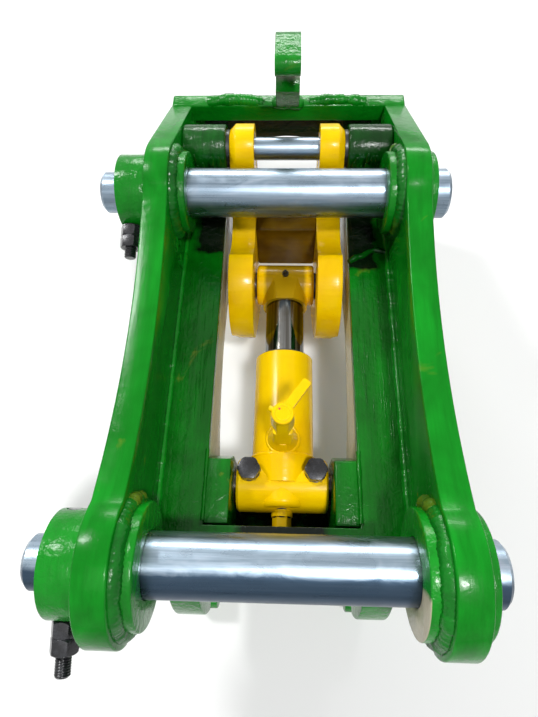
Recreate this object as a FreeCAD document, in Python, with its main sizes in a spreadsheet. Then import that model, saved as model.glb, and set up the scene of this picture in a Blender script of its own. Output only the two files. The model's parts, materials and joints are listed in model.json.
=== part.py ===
import FreeCAD, Part
import math
import os

# Hydraulic quick coupler for an excavator, jaws down, millimetres.
# Origin at the middle of the arm pin; X along the pins, +Y towards the link pin, +Z up.

os.makedirs("parts", exist_ok=True)
doc = FreeCAD.newDocument("quick_coupler")
sheet = doc.addObject("Spreadsheet::Sheet", "sizes")

driving_sizes = {
    # machine side: the two pins and the plates that carry them
    "pin_radius": 32.5,
    "pin_centres": 480.0,
    "arm_gap": 264.0,
    "boss_depth": 18.0,
    "plate_thick": 32.0,
    "arm_ear_radius": 77.0,
    "link_ear_radius": 68.0,
    "arm_boss_radius": 62.0,
    "link_boss_radius": 54.0,
    "waist_height": 27.0,
    "collar_length": 42.0,
    "arm_collar_radius": 53.0,
    "link_collar_radius": 50.0,
    "ring_length": 12.0,
    "pin_overhang_left": 28.0,
    "pin_overhang_right": 24.0,
    "pin_end_radius": 27.5,
    "pin_chamfer": 4.0,
    "fit_clearance": 0.05,
    # locking bolts across the collars
    "lock_bolt_radius": 8.0,
    "lock_bolt_setout": 9.0,
    "lock_nut_flats": 26.0,
    "lock_nut_height": 16.0,
    "lock_nut_chamfer": 2.2,
    "arm_lock_bolt_tail": 54.0,
    "link_lock_bolt_tail": 46.0,
    "lock_bolt_tilt": 15.0,
    # floor and end plate
    "floor_drop": 78.0,
    "floor_thick": 16.0,
    "floor_front": 34.0,
    "opening_half": 93.0,
    "opening_front": 48.0,
    "rear_overhang": 213.0,
    "end_plate_thick": 25.0,
    "end_plate_drop": 14.0,
    "end_plate_bottom": 152.0,
    "end_bar_height": 30.0,
    "end_recess": 13.0,
    "arch_half": 72.0,
    "arch_rise": 87.0,
    # hook plates under the floor
    "hook_plate_thick": 35.0,
    "hook_drop": 235.0,
    "front_hook_y": 15.0,
    "rear_seat_offset": 20.0,
    "mouth_radius": 34.0,
    "lip_reach": 62.0,
    "lip_round": 24.0,
    "foot_drop": 320.0,
    "front_foot_length": 118.0,
    "rear_foot_length": 120.0,
    "foot_round": 40.0,
    "belly_drop": 213.0,
    "belly_rise": 53.0,
    "seat_length": 48.0,
    "cross_plate_margin": 12.0,
    "cross_plate_clearance": 4.0,
    # moving jaw
    "jaw_pivot_offset": 92.0,
    "jaw_pivot_drop": 9.0,
    "jaw_pin_radius": 16.0,
    "washer_thick": 10.0,
    "washer_rim": 10.0,
    "jaw_plate_thick": 36.0,
    "jaw_head_radius": 34.0,
    "jaw_heel_radius": 84.0,
    "jaw_relief_drop": 86.0,
    "jaw_lip_thick": 40.0,
    "jaw_lip_length": 32.0,
    "jaw_back_drop": 171.0,
    "jaw_web_thick": 34.0,
    "jaw_web_margin": 14.0,
    "bush_wall": 5.0,
    "lug_radius": 33.0,
    "lug_spread": 14.0,
    "lug_overhang": 5.5,
    # hydraulic cylinder
    "trunnion_y": 108.0,
    "cylinder_drop": 150.0,
    "rod_eye_offset": 55.0,
    "barrel_radius": 42.0,
    "bore_radius": 35.0,
    "rod_radius": 29.0,
    "rod_showing": 133.0,
    "gland_length": 26.0,
    "piston_length": 30.0,
    "stroke_left": 28.0,
    "barrel_overlap": 8.0,
    "barrel_floor": 14.0,
    "wiper_thick": 4.0,
    "seal_depth": 5.0,
    "head_radius": 35.0,
    "head_nose_radius": 34.0,
    "head_nose_reach": 31.0,
    "head_half_width": 60.0,
    "head_collar_step": 3.0,
    "port_boss_radius": 14.0,
    "port_boss_rise": 6.0,
    "port_plug_radius": 8.0,
    "port_plug_flats": 22.0,
    "port_plug_length": 22.0,
    "keeper_bolt_radius": 8.0,
    "keeper_bolt_inset": 17.0,
    "keeper_bolt_offset": 13.0,
    "keeper_head_flats": 27.0,
    "keeper_head_height": 16.0,
    "keeper_washer_thick": 3.0,
    "trunnion_pin_grip": 30.0,
    "trunnion_pin_radius": 18.0,
    "block_gap": 4.0,
    "block_front": 50.0,
    "block_rear": 140.0,
    "block_bottom": 195.0,
    "block_corner": 24.0,
    "block_slope_run": 13.0,
    "block_slope_drop": 40.0,
    "rod_pin_radius": 20.0,
    "rod_eye_radius": 32.0,
    "rod_eye_gap": 3.0,
    "rod_neck_wall": 5.0,
    "rod_bush_wall": 4.0,
    "open_pivot_clearance": 1.6,
    "rod_pin_cap_thick": 5.0,
    "rod_pin_cap_rim": 9.0,
    "nipple_radius": 3.0,
    # valve on the barrel
    "valve_y": 162.0,
    "valve_stand_height": 62.0,
    "valve_nut_height": 38.0,
    "valve_nut_flats": 24.0,
    "valve_half": 12.0,
    "valve_flange_rim": 10.0,
    "lever_hub_radius": 13.0,
    "lever_hub_height": 8.0,
    "lever_reach": 50.0,
    "lever_width": 11.0,
    "lever_thick": 5.0,
    "lever_stub_length": 17.0,
    "lever_stub_radius": 3.5,
    "lever_turn": 35.0,
    # lifting hook
    "hook_thick": 35.0,
    "hook_height": 118.0,
    "hook_throat_radius": 20.0,
    "hook_back": 34.0,
    "hook_base": 25.0,
    "hook_nose": 28.0,
    "hook_inset": 4.0,
}
# Places that follow from those sizes; the spreadsheet works them out.
derived_sizes = {
    "rear_reach": "pin_centres + rear_overhang",
    "rear_seat_y": "pin_centres + rear_seat_offset",
    "jaw_pivot_y": "pin_centres + jaw_pivot_offset",
    "rod_eye_y": "pin_centres - rod_eye_offset",
    "barrel_front": "rod_eye_y - rod_showing",
    "piston_place": "trunnion_y + head_radius - barrel_overlap + barrel_floor + stroke_left + piston_length",
    "jaw_half_gap": "opening_half - washer_thick - jaw_plate_thick",
    "rod_eye_half": "jaw_half_gap - rod_eye_gap",
}
cells = {alias: str(value) for alias, value in driving_sizes.items()}
cells.update({alias: "=" + formula for alias, formula in derived_sizes.items()})
for row, (alias, content) in enumerate(cells.items(), start=1):
    sheet.set("A%d" % row, alias)
    sheet.set("B%d" % row, content)
    sheet.setAlias("B%d" % row, alias)
doc.recompute()


def size(alias):
    return float(sheet.get(alias))


# Names of the spreadsheet's cells are written plainly in expressions and get their sheet here.
def bound(expression):
    words = []
    for word in expression.replace("(", "( ").replace(")", " )").split():
        words.append("sizes." + word if word in cells else word)
    return " ".join(words)


def bind(thing, path, expression):
    thing.setExpression(path, bound(expression))


made = []


def new_body(label):
    body = doc.addObject("PartDesign::Body", label)
    body.Label = label
    made.append(body)
    return body


def place(body, x="0", y="0", z="0"):
    bind(body, ".Placement.Base.x", x)
    bind(body, ".Placement.Base.y", y)
    bind(body, ".Placement.Base.z", z)


def origin_plane(body, role):
    return next(item for item in body.Origin.OriginFeatures if item.Role == role)


# A corner is (across, up, radius); the corners are joined by lines and rounded by their radius.
def rounded_outline(corners):
    count = len(corners)
    spots = []
    for index in range(count):
        before = FreeCAD.Vector(*corners[index - 1][:2], 0)
        here = FreeCAD.Vector(*corners[index][:2], 0)
        after = FreeCAD.Vector(*corners[(index + 1) % count][:2], 0)
        radius = corners[index][2] if len(corners[index]) > 2 else 0
        to_before = (before - here).normalize()
        to_after = (after - here).normalize()
        if radius == 0:
            spots.append((here, None, here))
            continue
        half_angle = to_before.getAngle(to_after) / 2
        run = radius / math.tan(half_angle)
        run = min(run, 0.49 * (before - here).Length, 0.49 * (after - here).Length)
        radius = run * math.tan(half_angle)
        middle = here + (to_before + to_after).normalize() * (radius / math.sin(half_angle))
        nearest = middle + (here - middle).normalize() * radius
        spots.append((here + to_before * run, nearest, here + to_after * run))
    edges = []
    for index, (start, nearest, finish) in enumerate(spots):
        if nearest is not None:
            edges.append(Part.Arc(start, nearest, finish))
        following = spots[(index + 1) % count][0]
        if finish.distanceToPoint(following) > 1e-6:
            edges.append(Part.LineSegment(finish, following))
    return edges


def circle(across, up, radius):
    return [Part.Circle(FreeCAD.Vector(across, up, 0), FreeCAD.Vector(0, 0, 1), radius)]


def new_sketch(body, role, loops):
    sketch = body.newObject("Sketcher::SketchObject", body.Label + "_outline")
    sketch.AttachmentSupport = (origin_plane(body, role), "")
    sketch.MapMode = "FlatFace"
    for loop in loops:
        sketch.addGeometry(loop, False)
    return sketch


# Flame-cut plate standing in the YZ plane, from x to x + thickness.
def side_cut_plate(label, loops, thickness, x):
    body = new_body(label)
    pad = body.newObject("PartDesign::Pad", label + "_plate")
    pad.Profile = new_sketch(body, "YZ_Plane", loops)
    bind(pad, "Length", thickness)
    place(body, x)
    return body


# Plate lying in the XY plane, thickness upwards from z.
def lying_plate(label, loops, thickness, z):
    body = new_body(label)
    pad = body.newObject("PartDesign::Pad", label + "_plate")
    pad.Profile = new_sketch(body, "XY_Plane", loops)
    bind(pad, "Length", thickness)
    place(body, z=z)
    return body


# Plate facing the arm pin, standing in the XZ plane, thickness towards +Y from y.
def facing_plate(label, loops, thickness, y):
    body = new_body(label)
    pad = body.newObject("PartDesign::Pad", label + "_plate")
    pad.Profile = new_sketch(body, "XZ_Plane", loops)
    pad.Reversed = True
    bind(pad, "Length", thickness)
    place(body, y=y)
    return body


turns = {
    "X": FreeCAD.Rotation(FreeCAD.Vector(0, 1, 0), 90),
    "Y": FreeCAD.Rotation(FreeCAD.Vector(1, 0, 0), -90),
    "Z": FreeCAD.Rotation(),
}


# Round piece turned about X, Y or Z: steps are (start, length, radius) and so are its bores.
# The circles at both ends of a turned piece, which still lies along Z.
def end_rims(feature):
    doc.recompute()
    box = feature.Shape.BoundBox
    rims = []
    for number, rim in enumerate(feature.Shape.Edges, start=1):
        at_end = min(abs(rim.BoundBox.ZMin - box.ZMin), abs(rim.BoundBox.ZMax - box.ZMax)) < 0.001
        if at_end and rim.BoundBox.ZLength < 0.001:
            rims.append("Edge%d" % number)
    return rims


def turned(label, axis, steps, bores=(), x="0", y="0", z="0", chamfer=None):
    body = new_body(label)
    for kind, cuts in (("PartDesign::AdditiveCylinder", steps), ("PartDesign::SubtractiveCylinder", bores)):
        for start, length, radius in cuts:
            step = body.newObject(kind, label + "_step")
            bind(step, "Radius", radius)
            bind(step, "Height", length)
            bind(step, ".Placement.Base.z", start)
    if chamfer:
        edge = body.newObject("PartDesign::Chamfer", label + "_chamfer")
        edge.Base = (step, end_rims(step))
        bind(edge, "Size", chamfer)
    body.Placement = FreeCAD.Placement(FreeCAD.Vector(), turns[axis])
    place(body, x, y, z)
    return body


# A node of several like solids, built from Part primitives and placed by code.
def group_of(label, solids):
    item = doc.addObject("Part::Feature", label)
    item.Label = label
    item.Shape = Part.makeCompound(solids)
    made.append(item)
    return item


def vector(x, y, z):
    return FreeCAD.Vector(x, y, z)


x_axis = vector(1, 0, 0)
y_axis = vector(0, 1, 0)
z_axis = vector(0, 0, 1)


def hexagon(flats, height, base, direction):
    across = flats / math.sqrt(3)
    turn = FreeCAD.Rotation(z_axis, direction)
    corners = [vector(across * math.cos(math.radians(60 * k)), across * math.sin(math.radians(60 * k)), 0)
               for k in range(7)]
    points = [base + turn.multVec(corner) for corner in corners]
    prism = Part.Face(Part.makePolygon(points)).extrude(direction.normalize() * height)
    softened = Part.makeCone(across * 1.09, across * 0.93, height, base, direction)
    return prism.common(softened)


def ring(inner, outer, base, length, direction):
    disc = Part.makeCylinder(outer, length, base, direction)
    return disc.cut(Part.makeCylinder(inner, length, base, direction))


# Sizes that several pieces share.
plate_inner = size("arm_gap") / 2 + size("boss_depth")
plate_outer = plate_inner + size("plate_thick")
link_y = size("pin_centres")
pin_bore = size("pin_radius") + size("fit_clearance")
floor_top = -size("floor_drop")
floor_bottom = floor_top - size("floor_thick")
plate_end = size("rear_reach") - size("end_plate_thick")
end_plate_top = -size("end_plate_drop")

# Side plates: two round ears, a hollow waist between them and a slope down to the end plate.
arm_ear = size("arm_ear_radius")
link_ear = size("link_ear_radius")
waist = size("waist_height")


def ear_point(centre_y, radius, degrees):
    return (centre_y + radius * math.cos(math.radians(degrees)), radius * math.sin(math.radians(degrees)))


def arc_through(first, middle, last):
    return Part.Arc(vector(*first, 0), vector(*middle, 0), vector(*last, 0))


def line(first, last):
    return Part.LineSegment(vector(*first, 0), vector(*last, 0))


def side_plate_outline():
    front_low = (-size("floor_front"), floor_top)
    ear_front = ear_point(0, arm_ear, 195)
    ear_top = ear_point(0, arm_ear, 90)
    ear_back = ear_point(0, arm_ear, 46)
    waist_middle = (link_y * 0.52, waist)
    far_front = ear_point(link_y, link_ear, 127)
    far_top = ear_point(link_y, link_ear, 95)
    far_back = ear_point(link_y, link_ear, 66)
    end_top = (plate_end, end_plate_top)
    end_low = (plate_end, floor_top)
    return [
        arc_through(ear_front, ear_top, ear_back),
        arc_through(ear_back, waist_middle, far_front),
        arc_through(far_front, far_top, far_back),
        line(far_back, end_top),
        line(end_top, end_low),
        line(end_low, front_low),
        line(front_low, ear_front),
    ]


plate_loops = [side_plate_outline(), circle(0, 0, pin_bore), circle(link_y, 0, pin_bore)]
side_cut_plate("left_side_plate", plate_loops, "plate_thick", "- arm_gap / 2 - boss_depth - plate_thick")
side_cut_plate("right_side_plate", plate_loops, "plate_thick", "arm_gap / 2 + boss_depth")

# Hole for a locking bolt, across a piece that is turned about X.
bolt_tilt = math.radians(size("lock_bolt_tilt"))


def cross_bore(body, reach, along):
    hole = body.newObject("PartDesign::SubtractiveCylinder", body.Label + "_cross_bore")
    bind(hole, "Radius", "lock_bolt_radius + fit_clearance")
    hole.Height = 4 * reach
    turn = FreeCAD.Rotation(z_axis, size("lock_bolt_tilt")) * FreeCAD.Rotation(x_axis, 90)
    start = vector(-2 * reach * math.sin(bolt_tilt), 2 * reach * math.cos(bolt_tilt), 0)
    hole.Placement = FreeCAD.Placement(start, turn)
    bind(hole, ".Placement.Base.z", along)


# Inner wear bosses, outer collars with the locking bolts (left) and outer rings (right).
for pin, centre in (("arm", "0"), ("link", "pin_centres")):
    boss = pin + "_boss_radius"
    collar = pin + "_collar_radius"
    bore = "pin_radius + fit_clearance"
    turned("left_%s_inner_boss" % pin, "X", [("0", "boss_depth", boss)], [("0", "boss_depth", bore)],
           x="- arm_gap / 2 - boss_depth", y=centre)
    turned("right_%s_inner_boss" % pin, "X", [("0", "boss_depth", boss)], [("0", "boss_depth", bore)],
           x="arm_gap / 2", y=centre)
    turned("right_%s_outer_ring" % pin, "X", [("0", "ring_length", boss)], [("0", "ring_length", bore)],
           x="arm_gap / 2 + boss_depth + plate_thick", y=centre)
    turned(pin + "_pin", "X",
           [("0", "pin_overhang_left", "pin_end_radius"),
            ("pin_overhang_left", "arm_gap + 2 * boss_depth + 2 * plate_thick + collar_length + ring_length"
             " + pin_overhang_right", "pin_radius")],
           x="- arm_gap / 2 - boss_depth - plate_thick - collar_length - pin_overhang_left", y=centre,
           chamfer="pin_chamfer")
    lock = turned("left_%s_lock_collar" % pin, "X", [("0", "collar_length", collar)],
                  [("0", "collar_length", bore)],
                  x="- arm_gap / 2 - boss_depth - plate_thick - collar_length", y=centre)
    cross_bore(lock, size(collar), "collar_length / 2 - lock_bolt_setout")
    cross_bore(doc.getObject(pin + "_pin"), size(collar),
               "pin_overhang_left + collar_length / 2 - lock_bolt_setout")
doc.recompute()

# Each locking bolt goes through its collar and pin, tilted down towards -Y; its blind end is flush.
bolt_x = -plate_outer - size("collar_length") / 2 - size("lock_bolt_setout")
bolt_way = vector(0, -math.cos(bolt_tilt), -math.sin(bolt_tilt))
bolt_radius = size("lock_bolt_radius")
nut_flats = size("lock_nut_flats")
nut_height = size("lock_nut_height")
for pin, centre_y in (("arm", 0.0), ("link", link_y)):
    collar_radius = size(pin + "_collar_radius")
    middle = vector(bolt_x, centre_y, 0)
    bolt = Part.makeCylinder(bolt_radius, 2 * collar_radius + size(pin + "_lock_bolt_tail"),
                             middle - bolt_way * collar_radius, bolt_way)
    bolt = bolt.makeChamfer(bolt_radius * 0.15, [bolt.Edges[0], bolt.Edges[2]])
    group_of(pin + "_lock_bolt", [bolt])
    nuts = []
    for number in range(2):
        seat = middle + bolt_way * (collar_radius + number * nut_height)
        blank = Part.makeCylinder(nut_flats / math.sqrt(3), nut_height, seat, bolt_way)
        blank = blank.makeChamfer(size("lock_nut_chamfer"), [blank.Edges[0], blank.Edges[2]])
        nut = hexagon(nut_flats, nut_height, seat, vector(*bolt_way)).common(blank)
        hole = Part.makeCylinder(bolt_radius + size("fit_clearance"), 3 * nut_height,
                                 seat - bolt_way * nut_height, bolt_way)
        nuts.append(nut.cut(hole))
    group_of(pin + "_lock_nuts", nuts)

# Floor plate joining the side plates, with the long opening for the cylinder and jaw, open at the rear.
opening_half = size("opening_half")
opening_front = size("opening_front")
floor_front = -size("floor_front")
floor_corners = [(-plate_outer, floor_front), (plate_outer, floor_front), (plate_outer, plate_end),
                 (opening_half, plate_end), (opening_half, opening_front), (-opening_half, opening_front),
                 (-opening_half, plate_end), (-plate_outer, plate_end)]
lying_plate("floor_plate", [rounded_outline(floor_corners)], "floor_thick", "- floor_drop - floor_thick")

# End plate across the far end, arched underneath so that the jaw's pin can be seen.
arch_half = size("arch_half")
arch_top = -size("arch_rise")
end_bottom = -size("end_plate_bottom")
arch_spring = arch_top - arch_half * 0.32
end_outline = [
    line((-plate_outer, end_bottom), (-plate_outer, end_plate_top)),
    line((-plate_outer, end_plate_top), (plate_outer, end_plate_top)),
    line((plate_outer, end_plate_top), (plate_outer, end_bottom)),
    line((plate_outer, end_bottom), (arch_half, end_bottom)),
    line((arch_half, end_bottom), (arch_half, arch_spring)),
    arc_through((arch_half, arch_spring), (0, arch_top), (-arch_half, arch_spring)),
    line((-arch_half, arch_spring), (-arch_half, end_bottom)),
    line((-arch_half, end_bottom), (-plate_outer, end_bottom)),
]
end_body = facing_plate("rear_end_plate", [end_outline], "end_plate_thick", "rear_reach - end_plate_thick")

# Under its top bar the end plate is set back, down to the floor and between the hook plates.
for half_width, depth in (("( arm_gap / 2 + boss_depth )", "floor_drop"), ("opening_half", "end_plate_bottom")):
    recess = end_body.newObject("PartDesign::SubtractiveBox", "end_plate_recess")
    bind(recess, "Length", "2 * " + half_width)
    bind(recess, "Width", "end_recess")
    bind(recess, "Height", depth + " - end_plate_drop - end_bar_height")
    bind(recess, ".Placement.Base.x", "- " + half_width)
    bind(recess, ".Placement.Base.z", "- " + depth)

# Hook plates under the floor: fixed hook at the front, pin seat and foot at the rear.
mouth = size("mouth_radius")
hook_z = -size("hook_drop")
hook_y = size("front_hook_y")
seat_y = size("rear_seat_y")
foot_z = -size("foot_drop")
belly_z = -size("belly_drop")
lip_reach = size("lip_reach")
lip_round = size("lip_round")
foot_round = size("foot_round")
front_foot = size("front_foot_length")
seat_far = seat_y + size("seat_length")
foot_far = seat_far + size("rear_foot_length")
corner_share = 1 - math.sqrt(0.5)


def hook_plate_outline():
    lip_far = hook_y - lip_reach
    lead = foot_round * 0.4
    neck_rise = (floor_bottom - hook_z - mouth) * 0.38
    return [
        line((floor_front, floor_bottom), (plate_end, floor_bottom)),
        line((plate_end, floor_bottom), (plate_end, end_bottom)),
        line((plate_end, end_bottom), (foot_far, foot_z + foot_round)),
        arc_through((foot_far, foot_z + foot_round),
                    (foot_far - foot_round * corner_share, foot_z + foot_round * corner_share),
                    (foot_far - foot_round, foot_z)),
        line((foot_far - foot_round, foot_z), (seat_far + lead, foot_z)),
        arc_through((seat_far + lead, foot_z), (seat_far + lead * corner_share, foot_z + lead * corner_share),
                    (seat_far, foot_z + lead)),
        line((seat_far, foot_z + lead), (seat_far, hook_z)),
        arc_through((seat_far, hook_z), (seat_far - mouth * corner_share, hook_z + mouth * (1 - corner_share)),
                    (seat_far - mouth, hook_z + mouth)),
        line((seat_far - mouth, hook_z + mouth), (seat_y - mouth, hook_z + mouth)),
        arc_through((seat_y - mouth, hook_z + mouth), (link_y * 0.6, belly_z + size("belly_rise")),
                    (hook_y + front_foot, belly_z)),
        arc_through((hook_y + front_foot, belly_z),
                    (hook_y + front_foot * 0.78, foot_z * 0.67 + belly_z * 0.33),
                    (hook_y + front_foot * 0.36, foot_z)),
        line((hook_y + front_foot * 0.36, foot_z), (lip_far + lip_round, foot_z)),
        arc_through((lip_far + lip_round, foot_z), (lip_far, foot_z + lip_round),
                    (lip_far + lip_round * 0.25, hook_z - mouth)),
        line((lip_far + lip_round * 0.25, hook_z - mouth), (hook_y, hook_z - mouth)),
        arc_through((hook_y, hook_z - mouth), (hook_y + mouth, hook_z), (hook_y, hook_z + mouth)),
        line((hook_y, hook_z + mouth), (lip_far, hook_z + mouth)),
        arc_through((lip_far, hook_z + mouth), (lip_far - lip_round * 0.17, hook_z + mouth + neck_rise),
                    (floor_front, floor_bottom)),
    ]


hook_loops = [hook_plate_outline()]
side_cut_plate("left_hook_plate", hook_loops, "hook_plate_thick", "- opening_half - hook_plate_thick")
side_cut_plate("right_hook_plate", hook_loops, "hook_plate_thick", "opening_half")

# Front cross plate between the hook plates, in front of the cylinder's head.
cross_low = hook_z + mouth + size("cross_plate_margin")
front_corners = [(-opening_half, floor_bottom), (opening_half, floor_bottom),
                 (opening_half, cross_low), (-opening_half, cross_low)]
facing_plate("front_cross_plate", [rounded_outline(front_corners)], "floor_thick",
             "trunnion_y - head_radius - port_boss_rise - port_plug_length - cross_plate_clearance - floor_thick")

# Trunnion blocks on the hook plates, rounded below and sloped above at the rear.
trunnion = (size("trunnion_y"), -size("cylinder_drop"))
block_inner = size("head_half_width") + size("block_gap")
block_front = size("block_front")
block_rear = size("block_rear")
block_corners = [(block_front, floor_top), (block_front, -size("block_bottom")),
                 (block_rear, -size("block_bottom"), size("block_corner")),
                 (block_rear, floor_top - size("block_slope_drop")),
                 (block_rear - size("block_slope_run"), floor_top)]
block_loops = [rounded_outline(block_corners),
               circle(*trunnion, size("trunnion_pin_radius") + size("bush_wall") + size("fit_clearance"))]
block_width = "opening_half - head_half_width - block_gap"
side_cut_plate("left_trunnion_block", block_loops, block_width, "- opening_half")
side_cut_plate("right_trunnion_block", block_loops, block_width, "head_half_width + block_gap")

# Pivot lugs of the moving jaw, standing on the floor between the opening and the side plates.
pivot = (size("jaw_pivot_y"), -size("jaw_pivot_drop"))
lug_radius = size("lug_radius")
lug_front = pivot[0] - lug_radius
lug_back = pivot[0] + lug_radius
lug_spread = size("lug_spread")
lug_outline = [
    arc_through((lug_front, pivot[1]), (pivot[0], pivot[1] + lug_radius), (lug_back, pivot[1])),
    line((lug_back, pivot[1]), (lug_back + lug_spread, floor_top)),
    line((lug_back + lug_spread, floor_top), (lug_front - lug_spread / 2, floor_top)),
    line((lug_front - lug_spread / 2, floor_top), (lug_front, pivot[1])),
]
lug_loops = [lug_outline, circle(*pivot, size("jaw_pin_radius") + size("fit_clearance"))]
lug_width = "arm_gap / 2 + boss_depth - opening_half + lug_overhang"
side_cut_plate("left_pivot_lug", lug_loops, lug_width, "- arm_gap / 2 - boss_depth")
side_cut_plate("right_pivot_lug", lug_loops, lug_width, "opening_half - lug_overhang")

# Pivot pin, trapped between the side plates, and its spacer washers.
turned("jaw_pivot_pin", "X", [("0", "arm_gap + 2 * boss_depth - 4 * fit_clearance", "jaw_pin_radius")],
       x="- arm_gap / 2 - boss_depth + 2 * fit_clearance", y="jaw_pivot_y", z="- jaw_pivot_drop")
jaw_inner = size("jaw_half_gap")
jaw_outer = jaw_inner + size("jaw_plate_thick")
side_gap = 4 * size("fit_clearance")
jaw_pin = size("jaw_pin_radius")
washers = []
for side in (-1, 1):
    length = size("washer_thick") - size("lug_overhang") - side_gap
    start = jaw_outer + side_gap if side > 0 else -jaw_outer - side_gap - length
    base = vector(start, *pivot)
    washers.append(ring(jaw_pin + size("fit_clearance"), jaw_pin + size("washer_rim"), base, length, x_axis))
group_of("pivot_spacer_washers", washers)

# Moving jaw: head at the pivot, heel at the rod, mouth open towards the far end.
heel = (size("rod_eye_y"), -size("cylinder_drop"))
head_radius = size("jaw_head_radius")
heel_radius = size("jaw_heel_radius")
relief_z = -size("jaw_relief_drop")
jaw_lip_low = hook_z - mouth - size("jaw_lip_thick")
lip_length = size("jaw_lip_length")


def jaw_outline():
    head_front = (pivot[0] - head_radius, pivot[1])
    head_top = (pivot[0], pivot[1] + head_radius)
    head_back = (pivot[0] + head_radius, pivot[1])
    back_low = (pivot[0] + head_radius * 0.76, -size("jaw_back_drop"))
    back_middle = (pivot[0] + head_radius * 0.35, hook_z + mouth * 1.18)
    throat_lead = (pivot[0] - head_radius * 0.3, hook_z + mouth)
    relief_low = (link_y + head_radius * 0.18, relief_z)
    heel_top = (heel[0], heel[1] + heel_radius)
    heel_front = (heel[0] - heel_radius, heel[1])
    heel_low = ear_point(heel[0], heel_radius, 220)
    heel_low = (heel_low[0], heel[1] + heel_low[1])
    throat_top = (seat_y, hook_z + mouth)
    throat_back = (seat_y - mouth, hook_z)
    throat_low = (seat_y, hook_z - mouth)
    lip_end = (seat_y + lip_length, hook_z - mouth)
    lip_nose = (seat_y + lip_length * 1.3, hook_z - mouth * 1.4)
    lip_under = (seat_y + lip_length * 0.6, jaw_lip_low)
    lip_root = (seat_y - lip_length * 0.4, jaw_lip_low)
    belly = (seat_y - 2 * mouth, hook_z - mouth)
    return [
        arc_through(head_front, head_top, head_back),
        line(head_back, back_low),
        arc_through(back_low, back_middle, throat_lead),
        line(throat_lead, throat_top),
        arc_through(throat_top, throat_back, throat_low),
        line(throat_low, lip_end),
        arc_through(lip_end, lip_nose, lip_under),
        line(lip_under, lip_root),
        arc_through(lip_root, belly, heel_low),
        arc_through(heel_low, heel_front, heel_top),
        arc_through(heel_top, relief_low, head_front),
    ]


bush_seat = size("jaw_pin_radius") + size("bush_wall") + size("fit_clearance")
jaw_loops = [jaw_outline(), circle(*pivot, bush_seat),
             circle(*heel, size("rod_pin_radius") + size("fit_clearance"))]
side_cut_plate("left_jaw_plate", jaw_loops, "jaw_plate_thick", "- jaw_half_gap - jaw_plate_thick")
side_cut_plate("right_jaw_plate", jaw_loops, "jaw_plate_thick", "jaw_half_gap")

# Web and throat plate joining the two jaw plates.
margin = size("jaw_web_margin")
web_round = margin * 0.3
web_front = seat_y - margin * 0.6
web_back = web_front + size("jaw_web_thick")
web_top = relief_z - margin * 0.6
web_low = hook_z + mouth + margin
web_corners = [(web_front, web_top, web_round), (web_back, web_top, web_round),
               (web_back, web_low, web_round), (web_front, web_low, web_round)]
side_cut_plate("jaw_web", [rounded_outline(web_corners)], "2 * jaw_half_gap", "- jaw_half_gap")
bar_top = hook_z - mouth - margin * 0.45
bar_low = jaw_lip_low + margin * 0.45
bar_front = seat_y - lip_length * 0.25
lip_corners = [(bar_front, bar_top, web_round), (seat_y + lip_length * 0.75, bar_top, web_round),
               (seat_y + lip_length * 0.5, bar_low, web_round), (bar_front, bar_low, web_round)]
side_cut_plate("jaw_lip_bar", [rounded_outline(lip_corners)], "2 * jaw_half_gap", "- jaw_half_gap")


bushes = [ring(size("jaw_pin_radius") + size("fit_clearance"), bush_seat - size("fit_clearance"),
               vector(start, *pivot), size("jaw_plate_thick"), x_axis) for start in (-jaw_outer, jaw_inner)]
group_of("pivot_bushes", bushes)

# Rod-eye pin through the jaw, closed by a welded cap at each end.
turned("rod_eye_pin", "X", [("0", "2 * jaw_half_gap + 2 * jaw_plate_thick", "rod_pin_radius")],
       x="- jaw_half_gap - jaw_plate_thick", y="rod_eye_y", z="- cylinder_drop")
cap_thick = size("rod_pin_cap_thick")
cap_radius = size("rod_pin_radius") + size("rod_pin_cap_rim")
caps = [Part.makeCylinder(cap_radius, cap_thick, vector(start, *heel), x_axis)
        for start in (-jaw_outer - cap_thick, jaw_outer)]
group_of("rod_eye_pin_caps", caps)

# Cylinder barrel, gland and seals; the cylinder lies along Y.
cylinder_z = "- cylinder_drop"
barrel_start = "trunnion_y + head_radius - barrel_overlap"
barrel_back = size("trunnion_y") + size("head_radius") - size("barrel_overlap")
barrel_long = "barrel_front - trunnion_y - head_radius + barrel_overlap"
turned("barrel_tube", "Y", [("0", barrel_long, "barrel_radius")],
       [("barrel_floor", barrel_long + " - barrel_floor", "bore_radius")], y=barrel_start, z=cylinder_z)
turned("cylinder_gland", "Y", [("0", "gland_length", "bore_radius - fit_clearance")],
       [("0", "gland_length", "rod_radius + fit_clearance")], y="barrel_front - gland_length", z=cylinder_z)
turned("rod_wiper_seal", "Y", [("0", "wiper_thick", "bore_radius + wiper_thick / 2")],
       [("0", "wiper_thick", "rod_radius + fit_clearance")], y="barrel_front", z=cylinder_z)

# Base head: cross tube for the trunnion pins, saddle collar to the barrel and the port boss.
centre = vector(0, *trunnion)
clearance = size("fit_clearance")
head_half = size("head_half_width")
head_round = size("head_radius")
collar_step = size("head_collar_step")
barrel_round = size("barrel_radius")
boss_reach = head_round + size("port_boss_rise")
cross_tube = Part.makeCylinder(head_round, 2 * head_half, centre - x_axis * head_half, x_axis)
cross_tube = cross_tube.makeChamfer(collar_step, [cross_tube.Edges[0], cross_tube.Edges[2]])
collar_length = barrel_back - trunnion[0] + 2 * collar_step
head_collar = Part.makeCone(barrel_round - collar_step, barrel_round + collar_step, collar_length,
                            centre, y_axis)
port_boss = Part.makeCylinder(size("port_boss_radius"), boss_reach, centre, vector(0, -1, 0))
barrel_seat = Part.makeCylinder(barrel_round, 4 * collar_length, vector(0, barrel_back, trunnion[1]), y_axis)
nose_round = size("head_nose_radius")
nose = Part.makeCylinder(nose_round, size("head_nose_reach"), centre, vector(0, -1, 0))
nose = nose.makeFillet(nose_round / 4, [nose.Edges[0]])
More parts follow.
